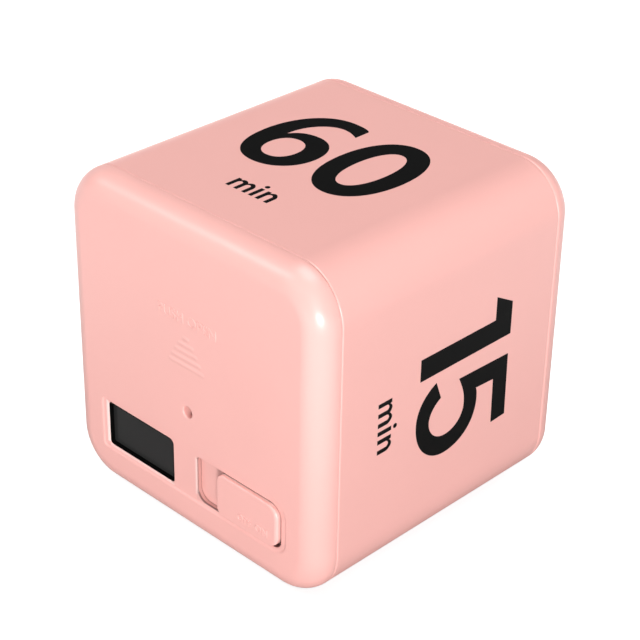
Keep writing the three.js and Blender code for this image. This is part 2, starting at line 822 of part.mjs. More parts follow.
const batteryGroup = assembly(
  piece('cell_upper', cell(1), metal(0x9fa3a8, 0.4)),
  piece('cell_lower', cell(-1), metal(0x9fa3a8, 0.4)),
  piece('contact_positive', positiveContact(), metal(0xc9ccd0, 0.3)),
  piece('contact_negative', negativeContact(), metal(0xc9ccd0, 0.3)),
  piece('contact_bridge', bridgeContact(), metal(0xc9ccd0, 0.3)),
  piece('wire_positive', lead(upperCellZ, wireReachUpper, boardHalf - wirePitch), plastic(0xb3221e, 0.5)),
  piece('wire_negative', lead(lowerCellZ, wireReachLower, boardHalf - 2 * wirePitch), plastic(0x161616, 0.5)),
);

const displayGroup = assembly(
  piece('display_frame', displayFrame(), plastic(blackPlastic, 0.6)),
  piece('display_lens', displayLens(), plastic(0x2e2e2e, 0.1)),
  piece('display_glass', displayGlass(), plastic(0x5b625c, 0.15)),
  piece('zebra_strip_upper', zebraStrip(1), plastic(0x6d6a66, 0.8)),
  piece('zebra_strip_lower', zebraStrip(-1), plastic(0x6d6a66, 0.8)),
);

const boardGroup = assembly(
  piece('main_board', mainBoard(), plastic(0x1f5a34, 0.45)),
  piece('controller_blob', controllerBlob(), plastic(0x0f0f10, 0.35)),
  piece('tilt_sensor', tiltSensor(), plastic(0x202022, 0.5)),
  piece('buzzer', buzzer(), plastic(0x141415, 0.4)),
  piece('crystal', crystal(), metal(0xc3c5c8, 0.25)),
  piece('capacitor', capacitor(), plastic(0x1d2a4d, 0.35)),
  piece('switch_body', switchBody(), metal(0xb4b6b9, 0.35)),
  ...boardScrews.map((place, i) => piece(`board_screw_${i + 1}`, boardScrew(place), metal(0xb8babd, 0.35))),
);

const sliderGroup = assembly(
  piece('switch_knob', switchKnob(), plastic(pinkPlastic, 0.3)),
  piece('switch_lever', switchLever(), plastic(blackPlastic, 0.5)),
);

// The cube stands on its lower face, so its centre is half a side above the origin
const timer = assembly(caseGroup, coverGroup, batteryGroup, displayGroup, boardGroup, sliderGroup);
timer.position.z = half;

export default timer;
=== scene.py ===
import math

import bmesh
import bpy
from mathutils import Matrix, Vector


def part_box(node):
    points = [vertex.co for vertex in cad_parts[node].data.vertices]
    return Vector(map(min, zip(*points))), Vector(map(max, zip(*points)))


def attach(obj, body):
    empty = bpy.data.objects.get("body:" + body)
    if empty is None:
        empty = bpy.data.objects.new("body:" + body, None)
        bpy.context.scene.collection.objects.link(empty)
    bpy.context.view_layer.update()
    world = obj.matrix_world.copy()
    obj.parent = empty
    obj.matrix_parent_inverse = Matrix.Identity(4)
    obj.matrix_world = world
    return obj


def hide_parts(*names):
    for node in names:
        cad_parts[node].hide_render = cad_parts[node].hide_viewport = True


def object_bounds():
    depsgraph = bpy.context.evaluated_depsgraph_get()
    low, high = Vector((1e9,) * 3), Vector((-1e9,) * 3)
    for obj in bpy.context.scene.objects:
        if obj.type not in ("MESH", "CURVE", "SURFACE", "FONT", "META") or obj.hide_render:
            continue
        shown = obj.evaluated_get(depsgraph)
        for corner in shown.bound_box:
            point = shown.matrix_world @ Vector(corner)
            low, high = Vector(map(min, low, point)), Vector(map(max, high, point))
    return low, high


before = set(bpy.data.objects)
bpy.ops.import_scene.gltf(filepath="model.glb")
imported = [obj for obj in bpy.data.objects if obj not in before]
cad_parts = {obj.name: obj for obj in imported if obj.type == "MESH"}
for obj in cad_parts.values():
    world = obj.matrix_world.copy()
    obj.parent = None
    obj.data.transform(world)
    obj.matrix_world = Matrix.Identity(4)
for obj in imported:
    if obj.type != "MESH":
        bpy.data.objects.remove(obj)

cad_low, cad_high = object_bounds()

# Sizes are in millimetres, counted from the cube's centre, until a mesh is placed in the row frame
MM = 0.001
HALF = (cad_high.x - cad_low.x) / 2 / MM

# Case
CORNER_RADIUS = 9.6
FACE_FILLET = 4.8
SEAM_SHOWN = 0.08
SEAM_SHARP = 0.08
SEAM_ROUND = 0.45
SMALL_EDGE = 0.22
CAP_WALL = 1.8
SLEEVE_WALL = 2.2
RIM_WALL = 1.2
TOUCH = 0.3
LIP_HEIGHT = 2
LIP_THICKNESS = 1.2
LIP_ROOT = 1.4
LIP_EDGE = 0.2
FRONT_LEDGE = -22.8
REAR_LEDGE = 24.9

# Print on the sleeve, with the letters m, i and n
PRINT_PROUD = 0.015
PRINT_DEPTH = 0.05
LETTER_HEIGHT = 3.38
LETTER_STROKE = 0.85
LETTER_PITCH_M = 1.95
LETTER_PITCH_N = 2.05
LETTER_NOTCH = 0.5
LETTER_SHOULDER = 1.25
LETTER_CROTCH = 1.35
M_LEFT = -5.1
I_LEFT = 0.43
N_LEFT = 2.1
STEM_DROP = 0.05
STEM_TOP_SHARE = 0.92
PEAK_SHARE = 0.75
PEAK_RISE = 0.06
PEAK_HANDLE_SHARE = 0.25
SHOULDER_HANDLE = 0.5
JOIN_INSET = 0.12
INNER_DROP = 0.72
INNER_HANDLES = (0.32, 0.25, 0.35)
DOT_RADIUS = 0.47
DOT_LIFT = 0.9
MIN_BASE = -18.03

# Screw bosses inside the rear cap
BOSS_CENTRE = 25.79
BOSS_RADIUS = 2.3
BOSS_ROOT = 0.3
PILOT_RADIUS = 1.3
PILOT_DEPTH = 12
GUSSET_REACH = 3
GUSSET_THICKNESS = 1.2

# Front face
WINDOW = (-22.14, -4.3, -22.94, -13.72)
WINDOW_CORNER = 0.8
WINDOW_EDGE = (0.62, 0.12, 0.5, 0.12)
SLOT = (1.98, 23.1, -23.12, -14.1)
SLOT_CORNERS = (2.3, 1.9, 2.6, 0.8)
SLOT_EDGE = (0.34, 0.14, 0.2, 0.12)
OPENING_DEPTH = 0.34
RECESS = (-23.9, 24.6, -24.1, -12.95)
RECESS_CORNERS = (0.9, 2.8, 3.3, 0.9)
RECESS_DEPTH = 0.25
RECESS_SLOPE = 0.55
RECESS_SLOPE_TOP = 0.25
POCKET = (-22.3, 27.1, -23.75, -12.3)
POCKET_CORNERS = (0.8, 4.4, 2, 0.8)
POCKET_FLOOR = -30.8
HOLE_HEIGHT = -5.71
HOLE_RADIUS = 1.1
HOLE_EDGE = 0.3
RIB_WIDTHS = (2.1, 4.4, 6.3, 7.9, 9.5)
RIB_TOP = 9.15
RIB_PITCH = 1.37
RIB_HEIGHT = 1.25
RIB_PROUD = 0.09
RIB_CREST = 0.05
ROUND_END_SHARE = 0.499
WORD_ACROSS = 0.35
WORD_HEIGHT = 12.8
WORD_SIZE = 2.9
WORD_PROUD = 0.12
WORD_EDGE = 0.08
WORD_SPACING = 0.97
MARK_SIZE = 2
MARK_PROUD = 0.12
POLARITY_SIZE = 5.5
POLARITY_PROUD = 0.3
MARK_INSET = 2
MARK_DROP = 3.4

# Switch knob
KNOB = (7.85, 22.98, -22.78, -14.15)
KNOB_CORNERS = (1.5, 2.4, 2.4, 1.6)
KNOB_FRONT = -32.58
KNOB_EDGE = (0.26, 0.75, 0.26, 0.35)
KNOB_EDGE_DEPTH = 0.36
KNOB_MARKS = (("mark_on", "ON", (19.15, KNOB_FRONT, -20.6)),
              ("mark_off", "OFF", (14.85, KNOB_FRONT, -20.65)))
KNOB_FLANGE = (1.8, 26.9, -23.45, -12.95)
KNOB_FLANGE_CORNERS = (1, 4.1, 1, 1)
FLANGE_FRONT = -30.5
FLANGE_SHOWN = -30.72
FLANGE_REAR = -29.3
FORK_GAP = 3.2
FORK_WALL = 1.4
FORK_HEIGHT = 4
FORK_END = -26.9

# Display
RIM = (-22.1, -4.34, -22.9, -13.76)
RIM_FRONT = -31.68
RIM_WALL_DISPLAY = 0.14
RIM_CORNER = 0.76
RIM_EDGE = 0.05
LEDGE = 0.6
LENS_GAP = 0.04
LENS_EDGE = 0.08
LENS_FRONT = -30.86
LENS_SEAT = -29.75
DISPLAY_BASE = (-22.0, -3.6, -23.2, -12.6)

# Cells and pad: pairs of a radius or an inset from the cell's side, and a distance along the cell
NUB_HEIGHT = 0.9
CELL_DISH = ((0, 0.15), (3.4, 0.15), (3.6, 0.0))
CELL_FOOT = ((0.55, 0.0), (0.3, 0.12), (0.12, 0.4), (0.1, 0.75), (0.02, 0.85), (0, 1.0))
CELL_SHOULDER = ((0, 0.7), (0.08, 0.4), (0.3, 0.15), (0.7, 0.02), (1.0, 0.05), (1.2, 0.3))
CELL_COLLAR = ((2.3, 0.3), (2.0, 0.2), (1.9, 0))
CELL_NUB = ((1.9, 0.3), (1.75, 0.08), (1.5, 0), (0, 0))
PAD_EDGE = 0.35
PAD_CORNER = 2

# Contacts, with their springs
PLATE = 0.4
PLATE_EDGE = 0.12
TAIL_HALF = 1.2
DIMPLE_RADIUS = 2.2
DIMPLE_HEIGHT = 0.25
SPRING_WIRE = 0.3
SPRING_BASE = 3.4
SPRING_TIP = 1.9
SPRING_TURNS = 3.5

# Screws: radius of the head and its height, radius of the shank
CASE_SCREW = (1.8, 1.3, 1.0)
BOARD_SCREW = (1.6, 1.1, 0.8)
HEAD_EDGE = 0.08
HEAD_FLAT_SHARE = 0.7
CROSS_REACH_SHARE = 0.58
CROSS_HALF_SHARE = 0.15
CROSS_DEPTH = 0.75
CROSS_TAPER_SHARE = 0.7
SCREW_TIP = 0.17
THREAD_PITCH = 0.7
THREAD_DEPTH = 0.17

# Smoothness
CORNER_STEPS = 20
SMALL_STEPS = 8
FILLET_STEPS = 14
EDGE_STEPS = 4
CIRCLE_STEPS = 48
SCREW_STEPS = 24
COIL_STEPS = 24
KNOB_STEPS = 6
RECESS_STEPS = 6
LOFT_LIFT = 0.001
MERGE = 0.0001
SMOOTH_ANGLE = 32
CELL_SMOOTH_ANGLE = 40

# CAD nodes that stay in sight
NODE_WELD = 0.001
NODE_EDGE = 0.1
NODE_ANGLE = 35

# Studio, in metres and as directions
FLOOR_HALF = 4
WORLD_FILL = 0.08
LAMP_TARGET = (0, 0, 0.03)
DARK_WALL = (-0.7, 0.7, 0)
# Direction in which the floor's painted reflection glows brightest
LIT_CORNER = (0.7, -0.7, 0)

# Finishes
PINK = (0.895, 0.468, 0.427)
# Tints of painted shade for gaps, slot walls and the flange, and of a painted highlight for pale edges
PINK_SHADE = (0.24, 0.11, 0.10)
PINK_DEEP_SHADE = (0.155, 0.055, 0.048)
PINK_HIGHLIGHT = (1.0, 0.84, 0.80)
SLOT_SHADE = (0.26, 0.155, 0.14)
PLASTIC_SPECULAR = 0.62
# Reach of the painted shade in narrow gaps
GAP_REACH = 2.5
# How softly the boxes of painted light fade at their edges
BOX_SOFTNESS = 0.12
GRAIN_LONG = 120
GRAIN_ACROSS = 2600

# Boxes of painted light, given by their spans in x, y and z: painted shade on the walls of the switch's slot
# and on the flange behind it, and painted highlights as pale edges beside the slot, the knob and the window
SLOT_WALL_SHADE = ((1.85, 8.5), (-31.5, -30.7), (-23.25, -13.95))
SLOT_RIM_SHADE = ((1.8, 8.5), (-31.77, -31.38), (-23.3, -13.95))
SLOT_LOW_SHADE = ((1.8, 8.5), (-31.77, -31.35), (-23.3, -21.6))
SLOT_LEFT_HIGHLIGHT = ((1.4, 1.95), (-32.0, -31.4), (-22.3, -14.4))
SLOT_FLOOR_SHADE = ((1.0, 27.5), (-31.8, -29.0), (-24.5, -12.5))
WINDOW_LEFT_HIGHLIGHT = ((-22.9, -22.1), (-31.95, -31.0), (-22.75, -13.6))
WINDOW_BELOW_HIGHLIGHT = ((-22.2, -4.2), (-31.95, -31.0), (-23.5, -22.9))
KNOB_TOP_HIGHLIGHT = ((8.5, 22.0), (-32.2, -31.5), (-14.4, -14.0))
KNOB_FLANK_HIGHLIGHT = ((22.2, 23.4), (-32.9, -31.5), (-22.4, -15.2))

FACE_FLAT = HALF - FACE_FILLET
CAP_INNER = HALF - CAP_WALL
RIM_INNER = HALF - RIM_WALL
SPIGOT = RIM_INNER - TOUCH
LIP_END = FACE_FLAT - LIP_HEIGHT
SLEEVE_HALF = HALF - PRINT_PROUD
SLEEVE_END = FACE_FLAT - SEAM_SHOWN
SLEEVE_INNER = HALF - SLEEVE_WALL
ROW_FRAME = Matrix.Scale(MM, 4) @ Matrix.Translation((0, 0, HALF))


# Mesh making

def outline(bm, box, corners, y, steps=SMALL_STEPS):
    """Closed loop of edges round a rectangle with rounded corners, standing at one depth."""
    left, right, bottom, top = box
    before = set(bm.edges)
    places = ((left, bottom), (right, bottom), (right, top), (left, top))
    verts = [bm.verts.new((x, y, z)) for x, z in places]
    bm.faces.new(verts)
    for vert, radius in zip(verts, corners):
        bmesh.ops.bevel(bm, geom=[vert], offset=radius, offset_type='OFFSET', segments=steps,
                        profile=0.5, affect='VERTICES', material=-1)
    edges = [edge for edge in bm.edges if edge not in before]
    faces = list({face for edge in edges for face in edge.link_faces})
    bmesh.ops.delete(bm, geom=faces, context='FACES_ONLY')
    return edges


def square(bm, half, y):
    """The case's own outline, drawn in from its outer faces with its corners concentric."""
    radius = CORNER_RADIUS - (HALF - half)
    return outline(bm, (-half, half, -half, half), [radius] * 4, y, CORNER_STEPS)


def circle(bm, x, z, radius, y, steps=CIRCLE_STEPS):
    turn = Matrix.Translation((x, y, z)) @ Matrix.Rotation(math.pi / 2, 4, 'X')
    made = bmesh.ops.create_circle(bm, cap_ends=False, radius=radius, segments=steps, matrix=turn)
    return list({edge for vert in made["verts"] for edge in vert.link_edges})


def loft(bm, rings, closed=False):
    """Walls from each ring to the next; a level ring is lifted for a moment, or its wall would twist."""
    for near, far in zip(rings, rings[1:] + rings[:1] if closed else rings[1:]):
        verts = list({vert for edge in far for vert in edge.verts})
        lift = LOFT_LIFT if abs(verts[0].co.y - near[0].verts[0].co.y) < LOFT_LIFT else 0
        bmesh.ops.translate(bm, verts=verts, vec=(0, lift, 0))
        bmesh.ops.bridge_loops(bm, edges=near + far)
        bmesh.ops.translate(bm, verts=verts, vec=(0, -lift, 0))
    return rings


def fill(bm, *rings):
    """Flat face across the first ring, left open where the others are."""
    edges = [edge for ring in rings for edge in ring]
    bmesh.ops.triangle_fill(bm, use_beauty=True, edges=edges)


def solid(bm, rings):
    """Closed body through rings, with flat ends."""
    loft(bm, rings)
    fill(bm, rings[0])
    fill(bm, rings[-1])


def node_box(node):
    """Lowest and highest corners of a CAD node, in millimetres about the cube's centre."""
    return [corner / MM - Vector((0, 0, HALF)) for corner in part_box(node)]


def grown(box, sides):
    """A box whose left, right, bottom and top move outwards by the given amounts."""
    left, right, bottom, top = box
    return (left - sides[0], right + sides[1], bottom - sides[2], top + sides[3])


def grown_evenly(box, amount):
    return grown(box, [amount] * 4)


def quarter(steps=EDGE_STEPS):
    """Sine and cosine of even steps from 0 to 90 degrees."""
    return [(math.sin(math.pi / 2 * i / steps), math.cos(math.pi / 2 * i / steps)) for i in range(steps + 1)]


def smooth(share):
    """Share that starts and ends level."""
    return share * share * (3 - 2 * share)


def boxed(bm, low, high, edge):
    """Block with eased edges."""
    size = Vector(high) - Vector(low)
    place = Matrix.Translation((Vector(high) + Vector(low)) / 2) @ Matrix.Diagonal((*size, 1))
    made = bmesh.ops.create_cube(bm, size=1, matrix=place)
    edges = list({e for vert in made["verts"] for e in vert.link_edges})
    bmesh.ops.bevel(bm, geom=edges, offset=edge, offset_type='OFFSET', segments=EDGE_STEPS, profile=0.5,
                    affect='EDGES', material=-1)


def spun(bm, profile, start, axis, steps=CIRCLE_STEPS):
    """Turned body from pairs of radius and distance, along an axis from its starting point."""
    side = axis.orthogonal().normalized()
    points = [start + side * radius + axis * distance for radius, distance in profile]
    verts = [bm.verts.new(point) for point in points]
    edges = [bm.edges.new(pair) for pair in zip(verts, verts[1:])]
    bmesh.ops.spin(bm, geom=verts + edges, cent=start, axis=axis, angle=2 * math.pi, steps=steps,
                   use_merge=True)


def finished(bm, name, material, body, slot, *replaced, smooth_angle=SMOOTH_ANGLE):
    """Turns a mesh in millimetres about the cube's centre into a placed, smooth-shaded piece."""
    bmesh.ops.remove_doubles(bm, verts=bm.verts, dist=MERGE)
    bmesh.ops.recalc_face_normals(bm, faces=bm.faces)
    bmesh.ops.translate(bm, verts=bm.verts, vec=(0, 0, HALF))
    bmesh.ops.scale(bm, verts=bm.verts, vec=(MM, MM, MM))
    mesh = bpy.data.meshes.new(name)
    bm.to_mesh(mesh)
    bm.free()
    return placed(mesh, name, material, body, slot, *replaced, smooth_angle=smooth_angle)


def linked(name, data):
    """New object in the scene."""
    thing = bpy.data.objects.new(name, data)
    bpy.context.collection.objects.link(thing)
    return thing


def coated(piece, material):
    """Gives a piece its one material and even shading."""
    piece.data.materials.clear()
    piece.data.materials.append(material)
    even = piece.modifiers.new("even_shading", 'WEIGHTED_NORMAL')
    even.keep_sharp = True


def placed(mesh, name, material, body, slot, *replaced, smooth_angle=SMOOTH_ANGLE):
    """Piece made from a mesh that already stands in the row frame."""
    mesh.shade_smooth()
    mesh.set_sharp_from_angle(angle=math.radians(smooth_angle))
    piece = linked(name, mesh)
    coated(piece, material)
    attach(piece, body)
    if replaced:
        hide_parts(*replaced)
    return piece


# Materials

class Graph:
    """Adds nodes to a node tree, with their inputs given by name."""

    def __init__(self, tree):
        self.tree = tree

    def add(self, kind, settings=None, **inputs):
        node = self.tree.nodes.new(kind)
        for name, value in (settings or {}).items():
            setattr(node, name, value)
        for name, value in inputs.items():
            self.feed(node.inputs[name.replace("_", " ")], value)
        return node

    def feed(self, socket, value):
        if isinstance(value, bpy.types.NodeSocket):
            self.tree.links.new(value, socket)
        else:
            socket.default_value = value

    def worked(self, kind, operation, values):
        node = self.add(kind, {"operation": operation})
        for socket, value in zip(node.inputs, values):
            self.feed(socket, value)
        return node.outputs

    def maths(self, operation, *values):
        return self.worked('ShaderNodeMath', operation, values)[0]

    def vector(self, operation, *values):
        return self.worked('ShaderNodeVectorMath', operation, values)

    def ramp(self, value, start, end, low, high):
        """Smooth step from a low to a high level while a value runs from start to end."""
        node = self.add('ShaderNodeMapRange', {"interpolation_type": 'SMOOTHSTEP'}, Value=value,
                        From_Min=start, From_Max=end, To_Min=low, To_Max=high)
        return node.outputs[0]

    def blend(self, factor, first, second):
        """Mix of two colours, whose sockets can only be told apart by number."""
        node = self.add('ShaderNodeMix', {"data_type": 'RGBA'}, Factor=factor)
        self.feed(node.inputs[6], first)
        self.feed(node.inputs[7], second)
        return node.outputs[2]

    def place(self):
        return self.add('ShaderNodeTexCoord').outputs["Object"]

    def noise(self, per_metre, detail=2.0, vector=None):
        node = self.add('ShaderNodeTexNoise', Vector=vector or self.place(), Scale=per_metre, Detail=detail)
        return node.outputs["Fac"]


GREY = (0.5, 0.5, 0.5, 1)

# Kinds of socket by how many numbers they hold, and what comes out of an effect
SOCKETS = {1: 'NodeSocketFloat', 3: 'NodeSocketVector', 4: 'NodeSocketColor'}
COLOR = {"Color": 4}
FINISH = {"Color": 4, "Roughness": 1, "Normal": 3}


def effect(name, inputs, outputs):
    """Empty shader node group with named sockets."""
    group = bpy.data.node_groups.new(name, 'ShaderNodeTree')
    for title, value in inputs.items():
        numbers = len(value) if isinstance(value, tuple) else 1
        socket = group.interface.new_socket(title, in_out='INPUT', socket_type=SOCKETS[numbers])
        socket.default_value = value
    for title, numbers in outputs.items():
        group.interface.new_socket(title, in_out='OUTPUT', socket_type=SOCKETS[numbers])
    graph = Graph(group)
    return group, graph, graph.add('NodeGroupInput').outputs, graph.add('NodeGroupOutput').inputs


def moulded_skin():
    """Slow waves left by cooling, fine skin texture and patches of handling on moulded plastic."""
    group, graph, given, out = effect("moulded skin", {
        "Tint": GREY, "Tint Shift": 0.03, "Roughness": 0.3, "Roughness Shift": 0.08,
        "Texture": 0.02,
    }, FINISH)
    patches = graph.noise(55.0, 4.0)
    cloud = graph.maths('MULTIPLY_ADD', patches, 2.0, -1.0)
    factor = graph.maths('MULTIPLY', cloud, given["Tint Shift"])
    shaded = graph.add('ShaderNodeHueSaturation', Color=given["Tint"])
    graph.feed(shaded.inputs["Value"], graph.maths('ADD', factor, 1.0))
    graph.feed(out["Color"], shaded.outputs["Color"])
    smear = graph.noise(210.0, 3.0)
    wear = graph.maths('MULTIPLY_ADD', smear, 2.0, -1.0)
    rough = graph.maths('MULTIPLY_ADD', wear, given["Roughness Shift"], given["Roughness"])
    graph.feed(out["Roughness"], rough)
    waves = graph.noise(160.0, 1.0)
    grain = graph.noise(2600.0, 2.0)
    height = graph.maths('MULTIPLY_ADD', grain, 0.35, waves)
    bump = graph.add('ShaderNodeBump', Strength=given["Texture"], Distance=0.0006, Height=height)
    graph.feed(out["Normal"], bump.outputs["Normal"])
    return group


def painted_gap_shade():
    """Painted shade where the plastic stands close to other plastic, as in slots and joints, darkened by
    ambient occlusion.
    """
    group, graph, given, out = effect("narrow gaps", {
        "Color": GREY, "Shade": (0.2, 0.2, 0.2, 1), "Reach": 0.002,
    }, COLOR)
    near = graph.add('ShaderNodeAmbientOcclusion', {"samples": 12}, Distance=given["Reach"])
    mask = graph.ramp(near.outputs["AO"], 0.55, 0.1, 0.0, 1.0)
    graph.feed(out["Color"], graph.blend(mask, given["Color"], given["Shade"]))
    return group


def painted_light_box():
    """Painted shade or painted highlight inside a box, such as painted shade on the walls of a slot or a
    painted highlight along a pale edge.
    """
    group, graph, given, out = effect("tinted box", {
        "Color": GREY, "Tint": (0.2, 0.2, 0.2, 1), "Strength": 1.0,
        "Centre": (0, 0, 0), "Reach": (0.001, 0.001, 0.001),
    }, COLOR)
    offset = graph.vector('SUBTRACT', graph.place(), given["Centre"])
    away = graph.vector('ABSOLUTE', offset["Vector"])
    beyond = graph.vector('SUBTRACT', away["Vector"], given["Reach"])
    parts = graph.add('ShaderNodeSeparateXYZ', Vector=beyond["Vector"]).outputs
    furthest = graph.maths('MAXIMUM', graph.maths('MAXIMUM', parts["X"], parts["Y"]), parts["Z"])
    inside = graph.ramp(furthest, -BOX_SOFTNESS * MM, 0.0, 1.0, 0.0)
    factor = graph.maths('MULTIPLY', inside, given["Strength"])
    graph.feed(out["Color"], graph.blend(factor, given["Color"], given["Tint"]))
    return group


def brushed_metal():
    """Drawing lines along one axis and patches of tarnish."""
    group, graph, given, out = effect("brushed metal", {
        "Tint": (0.6, 0.6, 0.6, 1), "Roughness": 0.35, "Lines": 0.2, "Grain": (120.0, 3000.0, 3000.0),
    }, FINISH)
    stretched = graph.add('ShaderNodeMapping', Vector=graph.place(), Scale=given["Grain"])
    lines = graph.noise(1.0, 3.0, stretched.outputs["Vector"])
    tarnish = graph.noise(420.0, 4.0)
    shaded = graph.add('ShaderNodeHueSaturation', Color=given["Tint"])
    graph.feed(shaded.inputs["Value"], graph.maths('MULTIPLY_ADD', tarnish, 0.35, 0.82))
    graph.feed(out["Color"], shaded.outputs["Color"])
    uneven = graph.maths('SUBTRACT', lines, 0.5)
    rough = graph.maths('MULTIPLY_ADD', uneven, given["Lines"], given["Roughness"])
    graph.feed(out["Roughness"], rough)
    bump = graph.add('ShaderNodeBump', Strength=given["Lines"], Distance=0.00005, Height=lines)
    graph.feed(out["Normal"], bump.outputs["Normal"])
    return group


SKIN = moulded_skin()
BRUSHED = brushed_metal()
PAINTED_GAP_SHADE = painted_gap_shade()
PAINTED_LIGHT_BOX = painted_light_box()


def new_material(name):
    material = bpy.data.materials.new(name)
    material.use_nodes = True
    material.node_tree.nodes.clear()
    graph = Graph(material.node_tree)
    shader = graph.add('ShaderNodeBsdfPrincipled')
    output = graph.add('ShaderNodeOutputMaterial')
    graph.feed(output.inputs["Surface"], shader.outputs["BSDF"])
    return material, graph, shader


def constants(shader, **values):
    for name, value in values.items():
        shader.inputs[name.replace("_", " ")].default_value = value


def dressed(name, group, values, **fixed):
    """Material whose colour, roughness and normal come from a shared effect."""
    material, graph, shader = new_material(name)
    node = graph.add('ShaderNodeGroup', {"node_tree": group})
    for title, value in values.items():
        node.inputs[title].default_value = value
    for socket, title in (("Base Color", "Color"), ("Roughness", "Roughness"), ("Normal", "Normal")):
        graph.feed(shader.inputs[socket], node.outputs[title])
    constants(shader, **fixed)
    return material


def moulded(name, tint, roughness, texture=0.02, tint_shift=0.02, roughness_shift=0.06, **fixed):
    values = {"Tint": (*tint, 1), "Tint Shift": tint_shift, "Roughness": roughness,
              "Roughness Shift": roughness_shift, "Texture": texture}
    return dressed(name, SKIN, values, **fixed)


def outer_plastic(name, tint, roughness, shade, boxes):
    """Moulded plastic of the outside, with painted shade in its gaps and with boxes of painted shade or
    painted highlight.
    """
    material = moulded(name, tint, roughness)
    graph = Graph(material.node_tree)
    shader = next(node for node in material.node_tree.nodes if node.type == 'BSDF_PRINCIPLED')
    color = shader.inputs["Base Color"].links[0].from_socket
    # Boxes of painted shade and painted highlight, one over another
    for box, other, strength in boxes:
        low, high = (ROW_FRAME @ Vector(corner) for corner in zip(*box))
        patch = graph.add('ShaderNodeGroup', {"node_tree": PAINTED_LIGHT_BOX}, Color=color, Tint=(*other, 1),
                          Strength=strength, Centre=(low + high) / 2, Reach=(high - low) / 2)
        color = patch.outputs["Color"]
    # Painted shade where other surfaces stand close
    gaps = graph.add('ShaderNodeGroup', {"node_tree": PAINTED_GAP_SHADE}, Color=color, Shade=(*shade, 1),
                     Reach=GAP_REACH * MM)
    graph.feed(shader.inputs["Base Color"], gaps.outputs["Color"])
    constants(shader, Specular_IOR_Level=PLASTIC_SPECULAR)
    return material


def metal(name, tint, roughness, axis, lines=0.1):
    """Metal drawn along one of the axes X, Y and Z."""
    grain = [GRAIN_LONG if letter == axis else GRAIN_ACROSS for letter in "XYZ"]
    values = {"Tint": (*tint, 1), "Roughness": roughness, "Lines": lines, "Grain": grain}
    return dressed(name, BRUSHED, values, Metallic=1.0)


# Painted shade on the walls of the switch's slot, and painted highlights on the edges beside the slot and
# the window
case_plastic = outer_plastic("pink case plastic", PINK, 0.33, PINK_DEEP_SHADE, [
    (SLOT_WALL_SHADE, SLOT_SHADE, 0.5), (SLOT_RIM_SHADE, SLOT_SHADE, 0.9), (SLOT_LOW_SHADE, PINK_DEEP_SHADE, 0.85),
    (SLOT_LEFT_HIGHLIGHT, PINK_HIGHLIGHT, 0.3), (WINDOW_LEFT_HIGHLIGHT, PINK_HIGHLIGHT, 0.6), (WINDOW_BELOW_HIGHLIGHT, PINK_HIGHLIGHT, 0.3)])
# Painted shade on the flange behind the knob, and painted highlights on its top edge and right flank, which
# slide with the knob
knob_plastic = outer_plastic("pink knob plastic", PINK, 0.35, PINK_SHADE, [
    (SLOT_FLOOR_SHADE, PINK_SHADE, 0.08), (KNOB_FLANK_HIGHLIGHT, PINK_HIGHLIGHT, 0.14), (KNOB_TOP_HIGHLIGHT, PINK_HIGHLIGHT, 0.4)])
chassis_plastic = moulded("pink chassis plastic", (0.90, 0.49, 0.45), 0.45, texture=0.05)
printed_black = moulded("black print", (0.0035, 0.0035, 0.0035), 0.55, texture=0.04, tint_shift=0.2,
                        Specular_IOR_Level=0.05)
display_black = moulded("black display frame", (0.002, 0.002, 0.002), 0.6, texture=0.05,
                        Specular_IOR_Level=0.05)
smoked_lens = moulded("smoked lens", (0.024, 0.024, 0.024), 0.16, texture=0.003, roughness_shift=0.02,
                      Specular_IOR_Level=0.1)
display_glass = moulded("display glass", (0.25, 0.29, 0.26), 0.15, texture=0.003, roughness_shift=0.02)
zebra_rubber = moulded("layered rubber", (0.15, 0.145, 0.14), 0.8, texture=0.1)
board_laminate = moulded("green board", (0.014, 0.10, 0.034), 0.4, texture=0.05, tint_shift=0.15)
resin_black = moulded("cast resin", (0.006, 0.006, 0.006), 0.3, texture=0.1)
component_black = moulded("component black", (0.014, 0.014, 0.015), 0.5, texture=0.06)
component_steel = metal("drawn steel can", (0.55, 0.56, 0.57), 0.3, "X")
capacitor_sleeve = moulded("capacitor sleeve", (0.012, 0.022, 0.075), 0.35, texture=0.03)
contact_steel = metal("nickel-plated contact", (0.60, 0.61, 0.62), 0.28, "Z")
cell_can = metal("cell sleeve", (0.36, 0.37, 0.38), 0.34, "X")
pad_foam = moulded("closed-cell foam", (0.024, 0.024, 0.026), 0.95, texture=0.6, tint_shift=0.25)
wire_red = moulded("red insulation", (0.45, 0.016, 0.012), 0.45, texture=0.03)
wire_black = moulded("black insulation", (0.008, 0.008, 0.008), 0.45, texture=0.03)
screw_steel = metal("zinc-plated steel", (0.50, 0.51, 0.52), 0.3, "Y", lines=0.05)


# Case

def sleeve_profile():
    """Pairs of half width and depth once round the sleeve's wall."""
    turns = quarter()
    front = [(SLEEVE_HALF - SEAM_ROUND * (1 - c), -SLEEVE_END + SEAM_ROUND * (1 - s)) for s, c in turns]
    rear = [(SLEEVE_HALF - SEAM_SHARP * (1 - s), SLEEVE_END - SEAM_SHARP * (1 - c)) for s, c in turns]
    inside = [(RIM_INNER, -SLEEVE_END), (RIM_INNER, FRONT_LEDGE), (SLEEVE_INNER, FRONT_LEDGE),
              (SLEEVE_INNER, REAR_LEDGE), (RIM_INNER, REAR_LEDGE), (RIM_INNER, SLEEVE_END)]
    return front + inside + rear


def make_sleeve():
    bm = bmesh.new()
    loft(bm, [square(bm, half, y) for half, y in sleeve_profile()], closed=True)
    finished(bm, "sleeve_shell", case_plastic, "case", "case_plastic", "body_sleeve")


